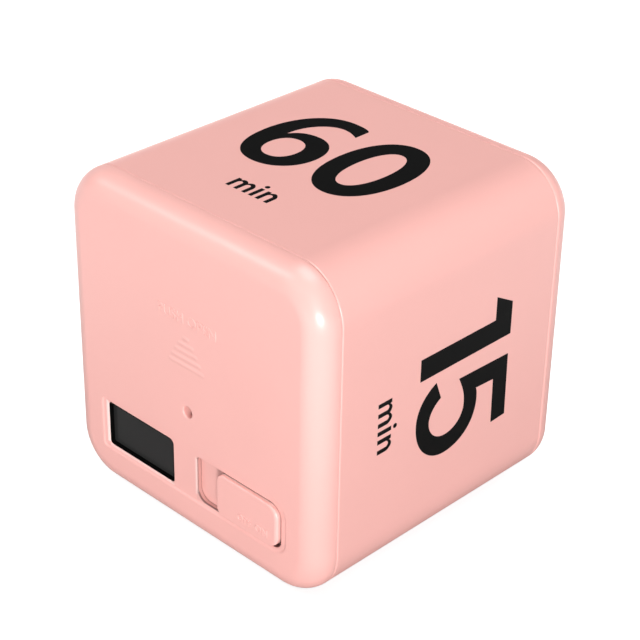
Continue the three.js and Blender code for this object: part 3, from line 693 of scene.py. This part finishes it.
def cap_outside(seam_edge):
    """Pairs of half width and depth from the flat face over the fillet and in to the lip."""
    rim = FACE_FLAT + seam_edge
    fillet = [(FACE_FLAT + FACE_FILLET * s, -rim - (HALF - rim) * c) for s, c in quarter(FILLET_STEPS)[:-1]]
    edge = [(HALF - seam_edge * (1 - c), -FACE_FLAT - seam_edge * (1 - s)) for s, c in quarter()]
    lip = [(SPIGOT, -FACE_FLAT)]
    lip += [(SPIGOT - LIP_EDGE + LIP_EDGE * c, -LIP_END - LIP_EDGE + LIP_EDGE * s)
            for s, c in quarter()]
    return fillet + edge + lip


def cap_inside():
    """Pairs of half width and depth from the lip's end to the flat inner face."""
    inner = SPIGOT - LIP_THICKNESS
    lip = [(inner + LIP_EDGE - LIP_EDGE * s, -LIP_END - LIP_EDGE + LIP_EDGE * c)
           for s, c in quarter()]
    radius = FACE_FILLET - CAP_WALL
    start = math.asin(LIP_ROOT / radius)
    fillet = []
    for i in range(SMALL_STEPS + 1):
        angle = start + (math.pi / 2 - start) * i / SMALL_STEPS
        fillet.append((FACE_FLAT + radius * math.cos(angle), -FACE_FLAT - radius * math.sin(angle)))
    return lip + [(inner, -FACE_FLAT - LIP_ROOT)] + fillet


def cap_shell(bm, seam_edge):
    """Walls of a cap; returns the rings round its flat outer and inner faces."""
    rings = loft(bm, [square(bm, half, y) for half, y in cap_outside(seam_edge) + cap_inside()])
    return rings[0], rings[-1]


def eased_hole(bm, box, corners, edges, floor, end):
    """Hole whose edge rounds over from a floor; returns the rings at the floor and at the far end."""
    rings = []
    for s, c in quarter():
        sides = [edge * (1 - s) for edge in edges]
        radii = [radius + sum(sides) / 4 for radius in corners]
        rings.append(outline(bm, grown(box, sides), radii, floor + OPENING_DEPTH * (1 - c)))
    rings.append(outline(bm, box, corners, end))
    loft(bm, rings)
    return rings[0], rings[-1]


def soft_recess(bm, face, floor):
    """Sloping rim of the shallow recess; returns its outer ring and the ring round its floor."""
    rings = []
    for i in range(RECESS_STEPS + 1):
        share = i / RECESS_STEPS
        slope = RECESS_SLOPE * share
        sides = [-slope, -slope, -slope, -RECESS_SLOPE_TOP * share]
        radii = [radius - slope / 2 for radius in RECESS_CORNERS]
        level = face + (floor - face) * smooth(share)
        rings.append(outline(bm, grown(RECESS, sides), radii, level))
    loft(bm, rings)
    return rings[0], rings[-1]


def sound_hole(bm, face, end):
    rings = [circle(bm, 0, HOLE_HEIGHT, HOLE_RADIUS + HOLE_EDGE * (1 - s), face + HOLE_EDGE * (1 - c))
             for s, c in quarter()]
    rings.append(circle(bm, 0, HOLE_HEIGHT, HOLE_RADIUS, end))
    loft(bm, rings)
    return rings[0], rings[-1]


def raised_rib(bm, width, z, face):
    """Low wave with round ends on the face; returns the ring where it meets the face."""
    box = (-width / 2, width / 2, z - RIB_HEIGHT / 2, z + RIB_HEIGHT / 2)
    radius = RIB_HEIGHT * ROUND_END_SHARE
    rings = []
    for i in range(SMALL_STEPS + 1):
        share = i / SMALL_STEPS
        shrink = (radius - RIB_CREST) * share
        rise = RIB_PROUD * (1 - math.cos(math.pi * share)) / 2
        rings.append(outline(bm, grown_evenly(box, -shrink), [radius - shrink] * 4, face - rise))
    loft(bm, rings)
    fill(bm, rings[-1])
    return rings[0]


def make_front_cover():
    bm = bmesh.new()
    face, inner_face = -HALF, -CAP_INNER
    floor = face + RECESS_DEPTH
    outer, inner = cap_shell(bm, SEAM_SHARP)
    recess, recess_floor = soft_recess(bm, face, floor)
    window, window_rear = eased_hole(bm, WINDOW, [WINDOW_CORNER] * 4, WINDOW_EDGE, floor, POCKET_FLOOR)
    slot, slot_rear = eased_hole(bm, SLOT, SLOT_CORNERS, SLOT_EDGE, floor, POCKET_FLOOR)
    hole, hole_rear = sound_hole(bm, face, inner_face)
    ribs = [raised_rib(bm, width, RIB_TOP - row * RIB_PITCH, face) for row, width in enumerate(RIB_WIDTHS)]
    pocket = outline(bm, POCKET, POCKET_CORNERS, inner_face)
    pocket_floor = outline(bm, POCKET, POCKET_CORNERS, POCKET_FLOOR)
    loft(bm, [pocket, pocket_floor])
    fill(bm, outer, recess, hole, *ribs)
    fill(bm, recess_floor, window, slot)
    fill(bm, pocket_floor, window_rear, slot_rear)
    fill(bm, inner, pocket, hole_rear)
    finished(bm, "front_cover_shell", case_plastic, "cover", "case_plastic", "front_cover")
    raised_word("words_push_open", "PUSH OPEN", WORD_SIZE, WORD_PROUD, (WORD_ACROSS, face, WORD_HEIGHT),
                case_plastic, "cover", "case_plastic")


def make_rear_cap():
    bm = bmesh.new()
    outer, inner = cap_shell(bm, SEAM_ROUND)
    fill(bm, outer)
    fill(bm, inner)
    end = -FRONT_LEDGE
    for x in (-BOSS_CENTRE, BOSS_CENTRE):
        for z in (-BOSS_CENTRE, BOSS_CENTRE):
            solid(bm, [
                circle(bm, x, z, BOSS_RADIUS, -CAP_INNER - BOSS_ROOT),
                circle(bm, x, z, BOSS_RADIUS, end - SMALL_EDGE),
                circle(bm, x, z, BOSS_RADIUS - SMALL_EDGE, end),
                circle(bm, x, z, PILOT_RADIUS, end),
                circle(bm, x, z, PILOT_RADIUS, end - PILOT_DEPTH),
            ])
            reach = math.copysign(BOSS_RADIUS + GUSSET_REACH, x)
            ends = sorted((x - math.copysign(BOSS_RADIUS, x), x - reach))
            boxed(bm, (ends[0], -CAP_INNER - BOSS_ROOT / 2, z - GUSSET_THICKNESS / 2),
                  (ends[1], -FACE_FLAT + GUSSET_REACH, z + GUSSET_THICKNESS / 2), SMALL_EDGE)
    bmesh.ops.rotate(bm, verts=bm.verts, cent=(0, 0, 0), matrix=Matrix.Rotation(math.pi, 3, 'Z'))
    finished(bm, "rear_cap_shell", case_plastic, "case", "case_plastic", "rear_cap")


# Numerals

def oval(left, right, bottom, top, fullness=0.6):
    """Knots of an upright oval."""
    x, y = (left + right) / 2, (bottom + top) / 2
    across, up = (right - left) / 2 * fullness, (top - bottom) / 2 * fullness
    return [(right, y, 0, up), (x, top, -across, 0), (left, y, 0, -up), (x, bottom, across, 0)]


# Knots in millimetres on a face: a place, then nothing at a sharp corner, the handle out of a smooth knot,
# or the handles in and out
SIX = [(-2.54, 14.75), (-6.61, 15.77, 4.2, 0, -6.21, 0), (-16.51, 2.57, 0, 7.07, 0, -7.13),
       (-8.67, -8.29, -4.91, 0, 4.54, 0), (-1.01, -0.26, 0, -4.45, 0, 4.6), (-6.9, 6.82, 3.14, 0, -2.88, 0),
       (-12.29, 3.89, 1.05, 1.88, -0.22, 5.23), (-6.32, 12.47, -2.64, 0, 1.65, 0),
       (-2.54, 11.45, -1.3, 0.61, 0, 0)]
SIX_COUNTER = oval(-12.03, -5.2, -4.85, 3.5)
NOUGHT = oval(0.69, 16.06, -8.15, 16.21)
NOUGHT_COUNTER = oval(4.8, 11.92, -3.93, 12.03)
ONE = [(-8.8, -7.77), (-4.42, -7.77), (-4.42, 15.94), (-10.98, 15.94), (-13.45, 11.54), (-8.8, 11.54)]
FIVE = [(-0.4, 15.7), (12.45, 15.93), (12.66, 12.13), (3.41, 11.95), (3.17, 7.22),
        (5.27, 7.63, -1.97, 0, 4.34, 0), (13.14, -0.63, 0, 5.06, 0, -3.78), (4.49, -8.37, 5.32, 0, -3.14, 0),
        (-2.54, -3.49, 1.52, -3.17, 0, 0), (1.1, -2.1, 0, 0, 0.94, -1.89), (5.18, -5.01, -1.55, 0, 1.7, 0),
        (9.33, -0.55, 0, -2.94, 0, 2.38), (4.9, 4.15, 2.83, 0, -2.07, 0), (-0.73, 2.52, 2.7, 1.27, 0, 0)]
TWO = [(-15.6, -7.7), (-1.6, -7.7), (-1.6, -4.1), (-10.3, -4.1, 0, 0, 3.6, 4.2), (-2.3, 9.2, 0, 3.9),
       (-8.9, 16.1, -2.6, 0), (-15.3, 13.4, 2.0, 1.8, 0, 0), (-13.3, 10.3, 0, 0, 1.3, 1.4),
       (-9.4, 12.5, 2.0, 0), (-6.4, 8.9, 0, -3.6), (-15.6, -4.6, 5.2, 5.4, 0, 0)]
THREE = [(-14.7, 14.2, 0, 0, 1.6, 1.2), (-9.0, 16.1, 4.0, 0), (-2.5, 10.2, 0, -2.9),
         (-6.0, 4.5, 2.2, 0.8, 2.8, -0.8), (-1.5, -1.5, 0, -4.2), (-9.3, -8.1, -2.8, 0),
         (-15.5, -6.3, 1.4, -1.1, 0, 0), (-14.7, -2.9, 0, 0, 1.6, -1.1), (-9.4, -4.6, 2.5, 0),
         (-5.4, -1.3, 0, 2.4), (-10.0, 2.8, -0.6, 0), (-11.9, 2.8), (-11.9, 6.1),
         (-10.1, 6.1, 2.3, 0), (-6.4, 9.5, 0, 1.9), (-9.5, 12.7, -1.8, 0), (-13.4, 11.2, 1.2, 0.9, 0, 0)]


def arches(left, pitch, count):
    """Outline of an n, or of an m with two arches, on its baseline."""
    w, top = LETTER_STROKE, LETTER_HEIGHT
    notch, shoulder, crotch = top - LETTER_NOTCH, top - LETTER_SHOULDER, top - LETTER_CROTCH
    stem_top = top - STEM_DROP
    knots = [(left, 0), (left, stem_top), (left + w * STEM_TOP_SHARE, stem_top), (left + w, notch)]
    for arch in range(count):
        stem = left + arch * pitch
        last = arch == count - 1
        peak = stem + w + (pitch - w) * PEAK_SHARE
        knots.append((peak, top + PEAK_RISE, pitch * PEAK_HANDLE_SHARE, 0))
        right = stem + pitch + w
        knots.append((right, shoulder, 0, -SHOULDER_HANDLE) if last else (right - JOIN_INSET, notch))
    knots.append((left + count * pitch + w, 0))
    up, across, down = INNER_HANDLES
    for arch in reversed(range(count)):
        stem = left + arch * pitch
        knots += [(stem + pitch, 0), (stem + pitch, shoulder, 0, up),
                  (stem + (pitch + w) / 2, top - INNER_DROP, -across, 0),
                  (stem + w, crotch, 0, down, 0, 0), (stem + w, 0)]
    return knots


def shifted(knots, across, up):
    return [(knot[0] + across, knot[1] + up, *knot[2:]) for knot in knots]


def minutes_word(centre):
    """The letters m, i and n below a number."""
    w = LETTER_STROKE
    dot = oval(-DOT_RADIUS, DOT_RADIUS, -DOT_RADIUS, DOT_RADIUS, fullness=0.55)
    stem_top = LETTER_HEIGHT - STEM_DROP
    stem = [(0, 0), (w, 0), (w, stem_top), (0, stem_top)]
    letters = [arches(M_LEFT, LETTER_PITCH_M, 2), shifted(stem, I_LEFT, 0),
               shifted(dot, I_LEFT + w / 2, LETTER_HEIGHT + DOT_LIFT), arches(N_LEFT, LETTER_PITCH_N, 1)]
    return [shifted(knots, centre, MIN_BASE) for knots in letters]


def handles(knot):
    """Ways in and out of a knot, as offsets from its place."""
    if len(knot) == 2:
        return (0, 0), (0, 0)
    if len(knot) == 4:
        return (-knot[2], -knot[3]), (knot[2], knot[3])
    return knot[2:4], knot[4:6]


def drawn(name, outlines, depth):
    """Flat mesh with thickness from closed outlines; one inside another is a hole."""
    curve = bpy.data.curves.new(name, 'CURVE')
    curve.dimensions = '2D'
    curve.fill_mode = 'BOTH'
    curve.resolution_u = 16
    curve.extrude = depth / 2
    for knots in outlines:
        spline = curve.splines.new('BEZIER')
        spline.bezier_points.add(len(knots) - 1)
        spline.use_cyclic_u = True
        for point, knot in zip(spline.bezier_points, knots):
            way_in, way_out = handles(knot)
            place = Vector((knot[0], knot[1], 0))
            point.handle_left_type = point.handle_right_type = 'FREE'
            point.co = place
            point.handle_left = place + Vector((*way_in, 0))
            point.handle_right = place + Vector((*way_out, 0))
    return meshed(curve)


def meshed(data):
    """Mesh of a curve or text, with nothing of the curve left behind."""
    drawing = linked(data.name, data)
    depsgraph = bpy.context.evaluated_depsgraph_get()
    mesh = bpy.data.meshes.new_from_object(drawing.evaluated_get(depsgraph))
    bpy.data.objects.remove(drawing)
    bpy.data.curves.remove(data)
    bm = bmesh.new()
    bm.from_mesh(mesh)
    bmesh.ops.remove_doubles(bm, verts=bm.verts, dist=MERGE)
    bmesh.ops.recalc_face_normals(bm, faces=bm.faces)
    bm.to_mesh(mesh)
    bm.free()
    return mesh


def print_number(name, outlines, quarter_turns, word_shift):
    """A number and its word on one of the four faces of the sleeve."""
    mesh = drawn(name, outlines + minutes_word(word_shift), PRINT_DEPTH)
    level = Matrix.Translation((0, 0, HALF - PRINT_DEPTH / 2))
    turn = Matrix.Rotation(quarter_turns * math.pi / 2, 4, 'Y')
    mesh.transform(ROW_FRAME @ turn @ level)
    placed(mesh, name, printed_black, "case", "printed_black")


def make_numbers():
    """Numbers from the top face on, a quarter turn apart, each with its word's own place across."""
    nought = [NOUGHT, NOUGHT_COUNTER]
    faces = (("number_sixty", [SIX, SIX_COUNTER] + nought, 0.15), ("number_fifteen", [ONE, FIVE], 0.59),
             ("number_thirty", [THREE] + nought, 0.3), ("number_twenty", [TWO] + nought, 0.3))
    for quarter_turns, (name, outlines, word_shift) in enumerate(faces):
        print_number(name, outlines, quarter_turns, word_shift)


def raised_word(name, words, size, proud, place, material, body, slot):
    """Plain moulded lettering that stands on a face towards the front."""
    text = bpy.data.curves.new(name, 'FONT')
    text.body = words
    text.size = size
    text.align_x = 'CENTER'
    text.align_y = 'CENTER'
    text.space_character = WORD_SPACING
    text.extrude = proud - WORD_EDGE
    text.bevel_depth = WORD_EDGE
    text.bevel_resolution = 2
    text.offset = -WORD_EDGE / 2
    text.resolution_u = 6
    mesh = meshed(text)
    mesh.transform(ROW_FRAME @ Matrix.Translation(place) @ Matrix.Rotation(math.pi / 2, 4, 'X'))
    placed(mesh, name, material, body, slot)


# Switch

def make_knob():
    bm = bmesh.new()
    rings = []
    for s, c in quarter(KNOB_STEPS):
        box = grown(KNOB, [-edge * (1 - s) for edge in KNOB_EDGE])
        radii = [corner - KNOB_EDGE_DEPTH * (1 - s) for corner in KNOB_CORNERS]
        rings.append(outline(bm, box, radii, KNOB_FRONT + KNOB_EDGE_DEPTH * (1 - c)))
    rings.append(outline(bm, KNOB, KNOB_CORNERS, FLANGE_FRONT + TOUCH))
    solid(bm, rings)
    solid(bm, [outline(bm, KNOB_FLANGE, KNOB_FLANGE_CORNERS, y)
               for y in (FLANGE_SHOWN, FLANGE_REAR)])
    centre, _, middle = sum(node_box("switch_lever"), Vector()) / 2
    for side in (-1, 1):
        ends = sorted((centre + side * FORK_GAP / 2, centre + side * (FORK_GAP / 2 + FORK_WALL)))
        boxed(bm, (ends[0], FLANGE_FRONT + TOUCH, middle - FORK_HEIGHT / 2),
              (ends[1], FORK_END, middle + FORK_HEIGHT / 2), SMALL_EDGE)
    finished(bm, "knob_shell", knob_plastic, "slider", "knob_plastic", "switch_knob")
    for name, words, place in KNOB_MARKS:
        raised_word(name, words, MARK_SIZE, MARK_PROUD, place, knob_plastic, "slider", "knob_plastic")


# Display

def make_display_frame():
    bm = bmesh.new()
    opening = grown_evenly(RIM, -RIM_WALL_DISPLAY)
    through = grown_evenly(opening, -LEDGE)
    corner = RIM_CORNER - RIM_WALL_DISPLAY
    outside = [(RIM, RIM_CORNER, FLANGE_FRONT)]
    outside += [(grown_evenly(RIM, -RIM_EDGE * (1 - c)), RIM_CORNER - RIM_EDGE * (1 - c),
                 RIM_FRONT + RIM_EDGE * (1 - s)) for s, c in quarter()]
    inside = [(opening, corner, RIM_FRONT), (opening, corner, LENS_SEAT), (through, corner, LENS_SEAT),
              (through, corner, FLANGE_REAR)]
    base = [(DISPLAY_BASE, WINDOW_CORNER, FLANGE_REAR), (DISPLAY_BASE, WINDOW_CORNER, FLANGE_FRONT)]
    rings = [outline(bm, box, [radius] * 4, y) for box, radius, y in outside + inside + base]
    loft(bm, rings, closed=True)
    finished(bm, "display_surround", display_black, "case", "display_black", "display_frame")


def make_lens():
    bm = bmesh.new()
    box = grown_evenly(RIM, -RIM_WALL_DISPLAY - LENS_GAP)
    corner = RIM_CORNER - RIM_WALL_DISPLAY - LENS_GAP
    rings = [outline(bm, grown_evenly(box, -LENS_EDGE * (1 - s)), [corner - LENS_EDGE * (1 - s)] * 4,
                     LENS_FRONT + LENS_EDGE * (1 - c)) for s, c in quarter()]
    rings.append(outline(bm, box, [corner] * 4, LENS_SEAT - LENS_GAP))
    solid(bm, rings)
    finished(bm, "lens_window", smoked_lens, "case", "smoked_lens", "display_lens")


# Cells, contacts and pad

def make_cell(node, facing):
    """Cell with its nub towards +X, or towards -X when facing is -1."""
    bm = bmesh.new()
    low, high = node_box(node)
    radius = (high.y - low.y) / 2
    length = high.x - low.x
    start = Vector((low.x if facing > 0 else high.x, (low.y + high.y) / 2, (low.z + high.z) / 2))
    shoulder = length - NUB_HEIGHT
    profile = list(CELL_DISH)
    profile += [(radius - inset, along) for inset, along in CELL_FOOT]
    profile += [(radius - inset, shoulder - back) for inset, back in CELL_SHOULDER]
    profile += [(reach, shoulder - back) for reach, back in CELL_COLLAR]
    profile += [(reach, length - back) for reach, back in CELL_NUB]
    spun(bm, profile, start, Vector((facing, 0, 0)))
    finished(bm, node + "_shell", cell_can, "case", "cell_can", node, smooth_angle=CELL_SMOOTH_ANGLE)


def coil(face, inward, reach, y, z):
    """Conical spring along X from a plate's face, its end turns lying flat."""
    curve = bpy.data.curves.new("coil", 'CURVE')
    curve.dimensions = '3D'
    curve.bevel_depth = SPRING_WIRE
    curve.bevel_resolution = 3
    curve.use_fill_caps = True
    spline = curve.splines.new('POLY')
    count = round(SPRING_TURNS * COIL_STEPS)
    spline.points.add(count)
    for i, point in enumerate(spline.points):
        share = i / count
        along = SPRING_WIRE + (reach - 2 * SPRING_WIRE) * smooth(share)
        radius = SPRING_BASE + (SPRING_TIP - SPRING_BASE) * share
        angle = 2 * math.pi * SPRING_TURNS * share
        point.co = (face + inward * along, y + radius * math.cos(angle), z + radius * math.sin(angle), 1)
    return meshed(curve)


def make_contact(node, side, spring_height, dimple_height, tailed):
    """Sprung plate at one end of the tub; side is 1 at the +X end, where it may have a tail to solder to."""
    bm = bmesh.new()
    low, high = node_box(node)
    face = (high.x if side > 0 else -low.x) - PLATE
    plate = sorted((side * face, side * (face + PLATE)))
    bridge_low, bridge_high = node_box("contact_bridge")
    middle = low.y + (bridge_high.y - bridge_low.y) / 2
    boxed(bm, (plate[0], low.y, low.z), (plate[1], 2 * middle - low.y, high.z), PLATE_EDGE)
    inward = Vector((-side, 0, 0))
    if tailed:
        centre = (low.z + high.z) / 2
        boxed(bm, (plate[0], middle, centre - TAIL_HALF), (plate[1], high.y, centre + TAIL_HALF), PLATE_EDGE)
    if dimple_height is not None:
        dome = [(0, -PLATE / 2), (DIMPLE_RADIUS, -PLATE / 2)]
        dome += [(DIMPLE_RADIUS * c, DIMPLE_HEIGHT * s) for s, c in quarter()]
        spun(bm, dome, Vector((side * face, middle, dimple_height)), inward)
    if spring_height is not None:
        bm.from_mesh(coil(side * face, -side, high.x - low.x - PLATE, middle, spring_height))
    finished(bm, node + "_plate", contact_steel, "case", "contact_steel", node)


def make_contacts():
    upper, lower = (sum(node_box(cell), Vector()).z / 2 for cell in ("cell_upper", "cell_lower"))
    make_contact("contact_positive", 1, None, upper, True)
    make_contact("contact_negative", 1, lower, None, True)
    make_contact("contact_bridge", -1, upper, lower, False)


def cross_ring(bm, x, z, reach, half, y):
    """Outline of a cross recess."""
    arm = [Vector((reach, 0, -half)), Vector((reach, 0, half)), Vector((half, 0, half))]
    turns = [Matrix.Rotation(-turn * math.pi / 2, 3, 'Y') for turn in range(4)]
    verts = [bm.verts.new(Vector((x, y, z)) + turn @ corner) for turn in turns for corner in arm]
    return [bm.edges.new(pair) for pair in zip(verts, verts[1:] + verts[:1])]


def make_screw(node, sizes, inward):
    """Pan-head screw with a cross recess; inward is 1 when it points to the rear."""
    bm = bmesh.new()
    head, height, shank = sizes
    low, high = node_box(node)
    x, z = (low.x + high.x) / 2, (low.z + high.z) / 2
    top = low.y if inward > 0 else high.y
    length = high.y - low.y
    profile = [(head * (HEAD_FLAT_SHARE + (1 - HEAD_FLAT_SHARE) * s), height / 2 * (1 - c))
               for s, c in quarter()]
    profile += [(head, height - HEAD_EDGE), (head - HEAD_EDGE, height), (shank, height)]
    for i in range(int((length - height - 2 * shank) / THREAD_PITCH)):
        start = height + (i + 0.5) * THREAD_PITCH
        profile += [(shank, start), (shank - THREAD_DEPTH, start + THREAD_PITCH / 2)]
    profile += [(shank, length - shank), (SCREW_TIP, length)]
    rings = loft(bm, [circle(bm, x, z, radius, top + inward * along, SCREW_STEPS)
                      for radius, along in profile])
    reach, half = head * CROSS_REACH_SHARE, head * CROSS_HALF_SHARE
    cross = cross_ring(bm, x, z, reach, half, top)
    deep = cross_ring(bm, x, z, reach * CROSS_TAPER_SHARE, half * CROSS_TAPER_SHARE,
                      top + inward * CROSS_DEPTH)
    loft(bm, [cross, deep])
    fill(bm, rings[0], cross)
    fill(bm, deep)
    fill(bm, rings[-1])
    finished(bm, node + "_turned", screw_steel, "case", "screw_steel", node)


def make_screws():
    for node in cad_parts:
        if node.startswith("case_screw"):
            make_screw(node, CASE_SCREW, 1)
        if node.startswith("board_screw"):
            make_screw(node, BOARD_SCREW, -1)


def make_polarity_marks():
    """Plus and minus moulded on the deck below the ends of the lower cell."""
    low, high = node_box("cell_lower")
    deck = node_box("chassis")[0].y
    for name, words, x in (("mark_plus", "+", low.x + MARK_INSET), ("mark_minus", "\u2212", high.x)):
        place = (x, deck, low.z - MARK_DROP)
        raised_word(name, words, POLARITY_SIZE, POLARITY_PROUD, place, chassis_plastic, "case",
                    "chassis_plastic")


def make_pad():
    bm = bmesh.new()
    low, high = node_box("cell_pad")
    box = (low.x, high.x, low.z, high.z)
    turns = [(PAD_EDGE * (1 - s), PAD_EDGE * (1 - c)) for s, c in quarter()]
    levels = [(inset, low.y + depth) for inset, depth in turns]
    levels += [(inset, high.y - depth) for inset, depth in reversed(turns)]
    solid(bm, [outline(bm, grown_evenly(box, -inset), [PAD_CORNER - inset] * 4, y)
               for inset, y in levels])
    pad = finished(bm, "foam_pad", pad_foam, "cover", "pad_foam", "cell_pad")


# Inner parts that keep their CAD shape

def dress_nodes():
    """Gives the remaining CAD nodes their finish, with joined triangles and eased edges."""
    finishes = {
        "chassis": chassis_plastic, "wire_positive": wire_red, "wire_negative": wire_black,
        "display_glass": display_glass, "zebra_strip_upper": zebra_rubber, "zebra_strip_lower": zebra_rubber,
        "main_board": board_laminate, "controller_blob": resin_black, "tilt_sensor": component_black,
        "buzzer": component_black, "crystal": component_steel, "capacitor": capacitor_sleeve,
        "switch_body": component_steel, "switch_lever": component_black,
    }
    for node, material in finishes.items():
        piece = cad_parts[node]
        weld = piece.modifiers.new("joined", 'WELD')
        weld.merge_threshold = NODE_WELD * MM
        eased = piece.modifiers.new("eased", 'BEVEL')
        eased.width = NODE_EDGE * MM
        eased.segments = 2
        eased.limit_method = 'ANGLE'
        eased.angle_limit = math.radians(NODE_ANGLE)
        coated(piece, material)


# Studio

def area_lamp(name, place, size, power, mirrored):
    lamp = bpy.data.lights.new(name, 'AREA')
    lamp.shape = 'RECTANGLE'
    lamp.size, lamp.size_y = size
    lamp.energy = power
    holder = linked(name, lamp)
    holder.location = place
    holder.rotation_mode = 'QUATERNION'
    holder.rotation_quaternion = (Vector(LAMP_TARGET) - Vector(place)).to_track_quat('-Z', 'Y')
    holder.visible_glossy = mirrored


def make_lamps():
    """Soft boxes by place, size, power and whether reflections show them; most light comes in low."""
    lamps = {
        "corner_low": ((0.78, -0.76, 0.031), (0.3, 0.06), 9.1, True),
        "corner_high": ((0.57, -0.59, 0.5), (0.4, 0.4), 2.7, False),
        "overhead": ((0, 0, 1), (0.6, 0.6), 5.3, True),
        "front_left_high": ((-0.5, -0.55, 0.62), (0.25, 0.25), 1.5, True),
        "left": ((-0.95, 0.2, 0.3), (0.5, 0.4), 4.2, False),
        "rear": ((0.1, 0.95, 0.3), (0.5, 0.4), 4.2, False),
    }
    for name, (place, size, power, mirrored) in lamps.items():
        area_lamp(name, place, size, power, mirrored)


def make_world():
    """White surroundings, with a dark wall that only reflections show, behind the cube from the camera."""
    world = bpy.data.worlds.new("studio")
    bpy.context.scene.world = world
    world.use_nodes = True
    world.node_tree.nodes.clear()
    graph = Graph(world.node_tree)
    path = graph.add('ShaderNodeLightPath').outputs
    seen = graph.maths('MAXIMUM', path["Is Camera Ray"], path["Is Transmission Ray"])
    rearward = graph.vector('DOT_PRODUCT', graph.add('ShaderNodeTexCoord').outputs["Generated"], DARK_WALL)
    wall = graph.ramp(rearward["Value"], -0.2, 0.7, 1.0, 0.15)
    mirrored = graph.maths('MULTIPLY', path["Is Glossy Ray"], wall)
    seen = graph.maths('MAXIMUM', seen, mirrored)
    level = graph.maths('MULTIPLY_ADD', seen, 1 - WORLD_FILL, WORLD_FILL)
    background = graph.add('ShaderNodeBackground', Color=(1, 1, 1, 1), Strength=level)
    output = graph.add('ShaderNodeOutputWorld')
    graph.feed(output.inputs["Surface"], background.outputs["Background"])


def make_floor():
    """White paper whose glow hides it from the camera; a painted glow that only reflections see makes it
    bright away from the cube, brightest towards the lit corner, as a painted reflection in the cube's lower
    edges.
    """
    bm = bmesh.new()
    bmesh.ops.create_grid(bm, x_segments=1, y_segments=1, size=FLOOR_HALF)
    mesh = bpy.data.meshes.new("floor")
    bm.to_mesh(mesh)
    bm.free()
    floor = linked("floor", mesh)
    material, graph, shader = new_material("white paper")
    fibre = graph.noise(900.0, 3.0)
    graph.feed(shader.inputs["Base Color"], graph.blend(fibre, (0.36, 0.36, 0.36, 1), (0.4, 0.4, 0.4, 1)))
    path = graph.add('ShaderNodeLightPath').outputs
    away = graph.vector('LENGTH', graph.place())["Value"]
    glow = graph.ramp(away, 0.1, 0.6, 0.84, 1.0)
    # Painted reflection: a glow that only glossy rays see, rising away from the cube and strongest towards
    # the lit corner
    sheen = graph.ramp(away, 0.05, 0.14, 0.0, 0.8)
    direction = graph.vector('NORMALIZE', graph.place())["Vector"]
    towards = graph.vector('DOT_PRODUCT', direction, LIT_CORNER)["Value"]
    corner = graph.ramp(towards, 0.4, 0.95, 1.0, 4.0)
    seen = graph.maths('MULTIPLY', path["Is Camera Ray"], glow)
    mirrored = graph.maths('MULTIPLY', path["Is Glossy Ray"], sheen)
    mirrored = graph.maths('MULTIPLY', mirrored, corner)
    graph.feed(shader.inputs["Emission Strength"], graph.maths('ADD', seen, mirrored))
    constants(shader, Roughness=0.9, Emission_Color=(1, 1, 1, 1))
    mesh.materials.append(material)


def make_camera():
    """Camera at the photograph's angle, worked out from the cube's own edges."""
    azimuth, elevation, roll = (math.radians(angle) for angle in (44.188, 30.358, 1.078))
    distance, focal, frame_width = 338.166, 1850.135, 640
    aside, lift = 0.413, -0.011
    back = Vector((math.sin(azimuth) * math.cos(elevation), -math.cos(azimuth) * math.cos(elevation),
                   math.sin(elevation)))
    right = Vector((math.cos(azimuth), math.sin(azimuth), 0))
    up = back.cross(right)
    turned_right = right * math.cos(roll) + up * math.sin(roll)
    turned_up = up * math.cos(roll) - right * math.sin(roll)
    eye = back * distance + turned_right * aside + turned_up * lift + Vector((0, 0, HALF))
    data = bpy.data.cameras.new("camera")
    data.sensor_width = 36
    data.lens = focal * data.sensor_width / frame_width
    data.clip_start, data.clip_end = 0.01, 10
    camera = linked("camera", data)
    turned = Matrix((turned_right, turned_up, back)).transposed().to_4x4()
    camera.matrix_world = Matrix.Translation(eye * MM) @ turned
    bpy.context.scene.camera = camera


make_camera()
make_sleeve()
make_front_cover()
make_rear_cap()
make_numbers()
make_knob()
make_display_frame()
make_lens()
make_cell("cell_upper", 1)
make_cell("cell_lower", -1)
make_contacts()
make_screws()
make_polarity_marks()
make_pad()
dress_nodes()
make_floor()
make_world()
make_lamps()
bpy.context.scene.view_settings.view_transform = 'Standard'
